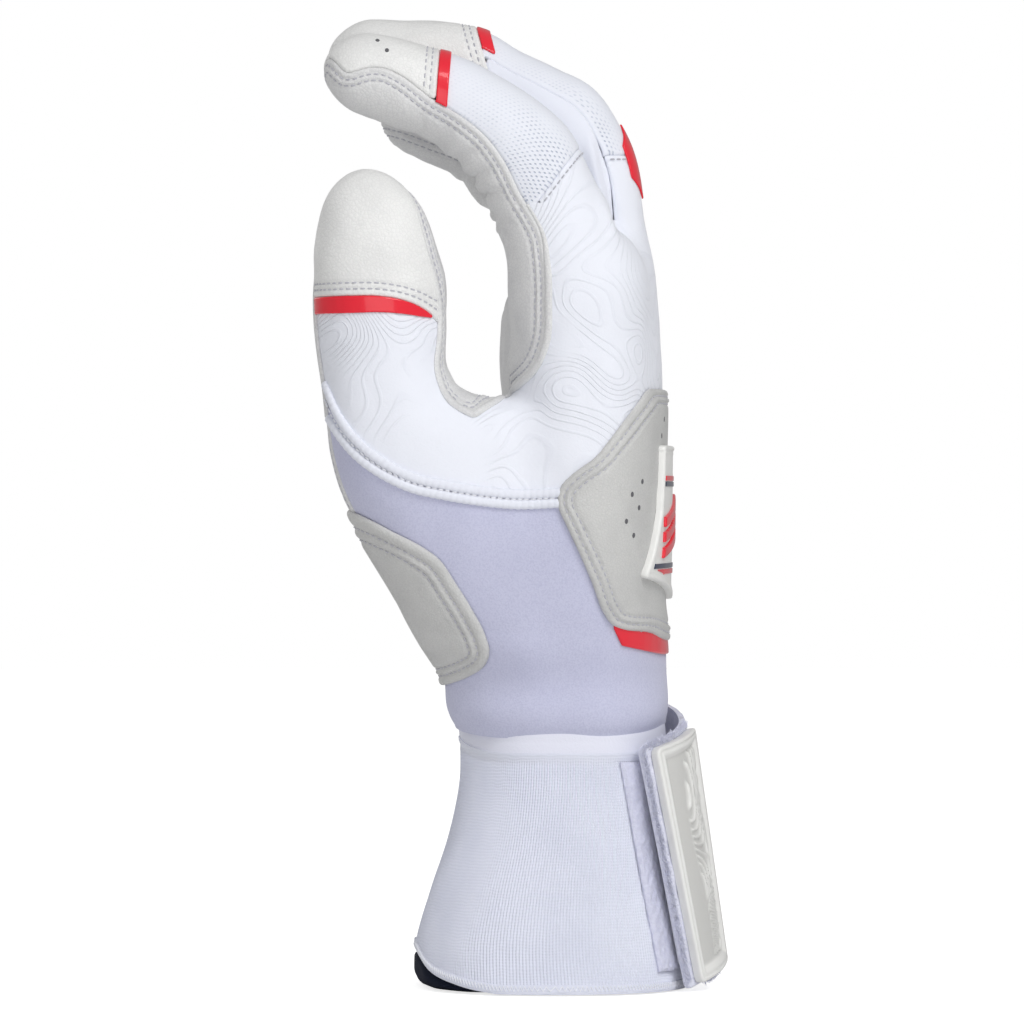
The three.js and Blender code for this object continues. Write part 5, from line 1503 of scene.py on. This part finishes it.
def strap_surface(start, end, low, high, out, step=0.5, corner=2.0):
    """A stretch of the strap as a surface, with the distance inside its rounded outline."""
    steps = int((start - end) * WRIST_RADIUS / step) + 1
    levels = int((high - low) / step) + 1
    angle, height = np.meshgrid(np.linspace(start, end, steps), np.linspace(low, high, levels), indexing="ij")
    p = strap_point(angle, height, out)
    run = run_of(strap_point(np.linspace(start, end, steps), (low + high) / 2, out))[:, None] + 0 * angle
    du, dh = np.minimum(run, run.max() - run), np.minimum(height - low, high - height)
    qx, qy = corner - du, corner - dh
    inside = corner - np.hypot(np.maximum(qx, 0), np.maximum(qy, 0)) - np.minimum(np.maximum(qx, qy), 0)
    fields = {"inside": inside.ravel(), "along": run.ravel(), "height": (height - low).ravel(),
              "to_end": (run.max() - run).ravel()}
    return Surface.made(p.reshape(-1, 3), grid_faces(steps, levels)[:, ::-1], fields)


def tab_relief(part):
    """Two rims, a bevel down to the field, and contour lines on the field's far part."""
    g, u, h = part["inside"], part["along"], part["height"]
    lift = -0.35 * step_up(g, 0.8, 1.0) + 0.25 * step_up(g, 1.2, 1.4) - 1.2 * step_up(g, 1.7, 3.6)
    height = 3.1 * np.sin(u / 5.1 + 1.2 * np.sin(h / 9.3)) + 2.6 * np.sin(h / 6.7 + u / 11 + 0.8)
    line = hump(np.abs(height % 1 - 0.5), 0, 0.16)
    here = step_up(g, 3.5, 4.0) * (1 - step_up(u + 1.6 * np.sin(h / 7), 11.5, 12.2))
    return lift + 0.75 * line * here


def fuzz(name, places, normals, slot, length=1.15, radius=0.08, seed=4):
    """Short fibres that stand off an edge, each a thin closed spike."""
    rng = np.random.default_rng(seed)
    ways = unit(normals + rng.normal(size=normals.shape) * 0.45)
    sizes = length * rng.uniform(0.4, 1.3, len(places))
    side = unit(np.cross(ways, rng.normal(size=ways.shape)))
    other = np.cross(ways, side)
    turn = np.array([0, 2.1, 4.2])
    ring = places[:, None] + radius * (np.cos(turn)[None, :, None] * side[:, None]
                                       + np.sin(turn)[None, :, None] * other[:, None])
    tip = places + ways * sizes[:, None]
    points = np.concatenate([ring, tip[:, None]], axis=1).reshape(-1, 3)
    faces = np.array([(0, 1, 3), (1, 2, 3), (2, 0, 3), (0, 2, 1)])
    faces = (faces[None] + 4 * np.arange(len(places))[:, None, None]).reshape(-1, 3)
    return solid(name, points, faces, slot)


def lay_strap():
    height, thick, gap = STRAP["height"], STRAP["thickness"], GAP / WRIST_RADIUS
    cloth = lambda part: 0.12 * waves(part.points, 7, 31)
    both = [seam("inside")]
    surface = strap_surface(STRAP["anchor"], STRAP["root"] + gap, 0, height, thick)
    lay("strap_anchor", both, "hand", "velour", surface, bottom=-thick - LOOP - GAP, roll=0.5, dip=0.5,
        shape=cloth)
    surface = strap_surface(STRAP["root"] - gap, STRAP["end"], 0, height, thick, corner=1.4)
    hold(panel("strap_skin", surface, both, "velour", bottom=-thick, roll=0.5, dip=0.5, shape=cloth),
         "strap fold", ["strap_root", "strap_end"])
    surface = strap_surface(STRAP["bend"] - gap / 2, STRAP["end"], 0, height, thick, corner=1.4)
    lines = np.concatenate([row for inset in (0.1, 0.3, 0.6) for row in surface.tracks("inside", inset)])
    lines = lines[(lines[:, 2] > FUZZ_FOOT) & (lines[:, 1] < FUZZ_SIDE)]
    out = unit(lines[:, :3] - surface.points.mean(0) + 14 * lines[:, 3:6])
    hold(fuzz("strap_end_fuzz", *scatter(lines, out, 9), "velour"), "strap fold")
    surface = strap_surface(-.3, -.92, 4, height - 4, -GAP)
    lay("hook_pad", both, "strap_tip", "hook_tape", surface, bottom=-HOOK, roll=0.3, dip=0.3)
    surface = strap_surface(-.14, -.88, 0.8, height - 0.8, thick + GAP + TAB, 0.35, 1.6)
    lay("pull_tab", both, "strap_tip", "badge_rubber", surface, bottom=-TAB - 0.2, roll=0.6, dip=0.6,
        shape=tab_relief, rings=4)


def scatter(lines, out, each, seed=9):
    """Places beside lines of points, each one moved a little at random."""
    rng = np.random.default_rng(seed)
    places = np.repeat(lines[:, :3], each, axis=0) + rng.normal(size=(len(lines) * each, 3)) * 0.25
    return places, np.repeat(out, each, axis=0)


LOOP_EDGE = [(26.4, 4.4), (17.8, 50.1)]  # the pile's front edge, in the side view
LOOP_END = -0.03  # where the pile ends under the strap, as an angle round the cuff


def lay_loop_pile():
    (x_low, low), (x_high, high) = LOOP_EDGE
    z = np.linspace(low, high, 120)
    front_x = np.interp(z, [low, high], [x_low, x_high])
    angle = np.linspace(-1.6, LOOP_END, 900)
    x = wrist_at(z[:, None], angle[None], GAP + LOOP)[..., 0]
    front = np.array([np.interp(front_x[i], x[i], angle) for i in range(len(z))])
    share = np.linspace(0, 1, 90)[None]
    grid_angle = (front[:, None] * (1 - share) + LOOP_END * share).T
    heights = (z[:, None] + 0 * share).T
    flat = wrist_at(heights, grid_angle, 0.0).reshape(-1, 3)
    rough = (0.12 * waves(flat, 2.3, 41) + 0.1 * waves(flat, 1.1, 42)).reshape(grid_angle.shape)
    edge = np.minimum(share.T * 25, np.minimum(z - low, high - z)[None])
    outer = wrist_at(heights, grid_angle, GAP + LOOP * (0.35 + 0.65 * step_up(edge, 0, 0.8)) + rough)
    inner = wrist_at(heights, grid_angle, GAP - 0.15)
    hold(sheet("loop_pile_skin", outer, inner, "loop_pile"), "hand", ["loop_pile"])


print("badge, cuff and strap")
lay_badge()
lay_cuff()
lay_cuff_sewing()
lay_loop_pile()
lay_strap()

# ---------------------------------------------------------------- camera, light and floor

for left in [o for o in bpy.data.objects if o.type in ("CAMERA", "LIGHT")]:
    bpy.data.objects.remove(left)

PICTURE, PIXELS_PER_MM, SENSOR = 1024, 4.5, 36  # at the glove's middle plane
AIM_X, AIM_Z, CAMERA_AWAY = -6.2, 104.7, 1500  # millimetres in the drawing frame
LAMP_AIM = (0, 0, 0.11)
FLOOR_HALF, FLOOR_DROP, FLOOR_GLOW = 3, -0.0004, 0.75

camera = new_object("camera", bpy.data.cameras.new("camera"))
camera.location = metres([AIM_X, -CAMERA_AWAY, AIM_Z])
camera.rotation_euler = (math.pi / 2, 0, 0)
camera.data.sensor_width = SENSOR
camera.data.lens = SENSOR * CAMERA_AWAY / (PICTURE / PIXELS_PER_MM)
camera.data.clip_start, camera.data.clip_end = 0.1, 20
bpy.context.scene.camera = camera


def backdrop(strength):
    """The world: this strength as light, and white where the camera sees it or a transmission ray reaches it.
    """
    world = bpy.data.worlds.new("world")
    world.use_nodes = True
    tree = world.node_tree
    path = add_node(tree, "ShaderNodeLightPath").outputs
    seen = add_node(tree, "ShaderNodeMath", {0: path["Is Camera Ray"], 1: path["Is Transmission Ray"]},
                    operation="MAXIMUM")
    level = add_node(tree, "ShaderNodeMapRange",
                     {"Value": seen.outputs[0], "To Min": strength, "To Max": 1.0})
    shader = tree.nodes["Background"]
    shader.inputs["Color"].default_value = (1, 1, 1, 1)
    tree.links.new(level.outputs[0], shader.inputs["Strength"])
    bpy.context.scene.world = world


def lamp(name, place, size, watts):
    """A square lamp that looks at the glove."""
    light = bpy.data.lights.new(name, "AREA")
    light.shape, light.size, light.energy = "SQUARE", size, watts
    obj = new_object(name, light)
    obj.location = place
    obj.rotation_euler = (Vector(LAMP_AIM) - Vector(place)).to_track_quat("-Z", "Y").to_euler()


def floor():
    """A pale floor, lifted to white for the camera, that keeps the shadow."""
    mesh = bpy.data.meshes.new("floor")
    corners = [(-1, -1), (1, -1), (1, 1), (-1, 1)]
    mesh.from_pydata([(x * FLOOR_HALF, y * FLOOR_HALF, FLOOR_DROP) for x, y in corners], [], [(0, 1, 2, 3)])
    obj = new_object("floor", mesh)
    material = bpy.data.materials.new("floor")
    material.use_nodes = True
    tree = material.node_tree
    shader = tree.nodes["Principled BSDF"].inputs
    shader["Base Color"].default_value = (.9, .9, .9, 1)
    shader["Roughness"].default_value = 0.9
    shader["Emission Color"].default_value = (1, 1, 1, 1)
    path = add_node(tree, "ShaderNodeLightPath").outputs
    glow = add_node(tree, "ShaderNodeMath", {0: path["Is Camera Ray"], 1: FLOOR_GLOW}, operation="MULTIPLY")
    tree.links.new(glow.outputs[0], shader["Emission Strength"])
    mesh.materials.append(material)


backdrop(0.36)
lamp("key", (0.5, -0.95, 1.0), 0.6, 9.0)
lamp("front", (0.0, -1.3, 0.1), 0.9, 4.6)
lamp("fill", (-0.9, 1.0, 0.6), 0.9, 3.0)
floor()
bpy.context.scene.view_settings.view_transform = "Standard"
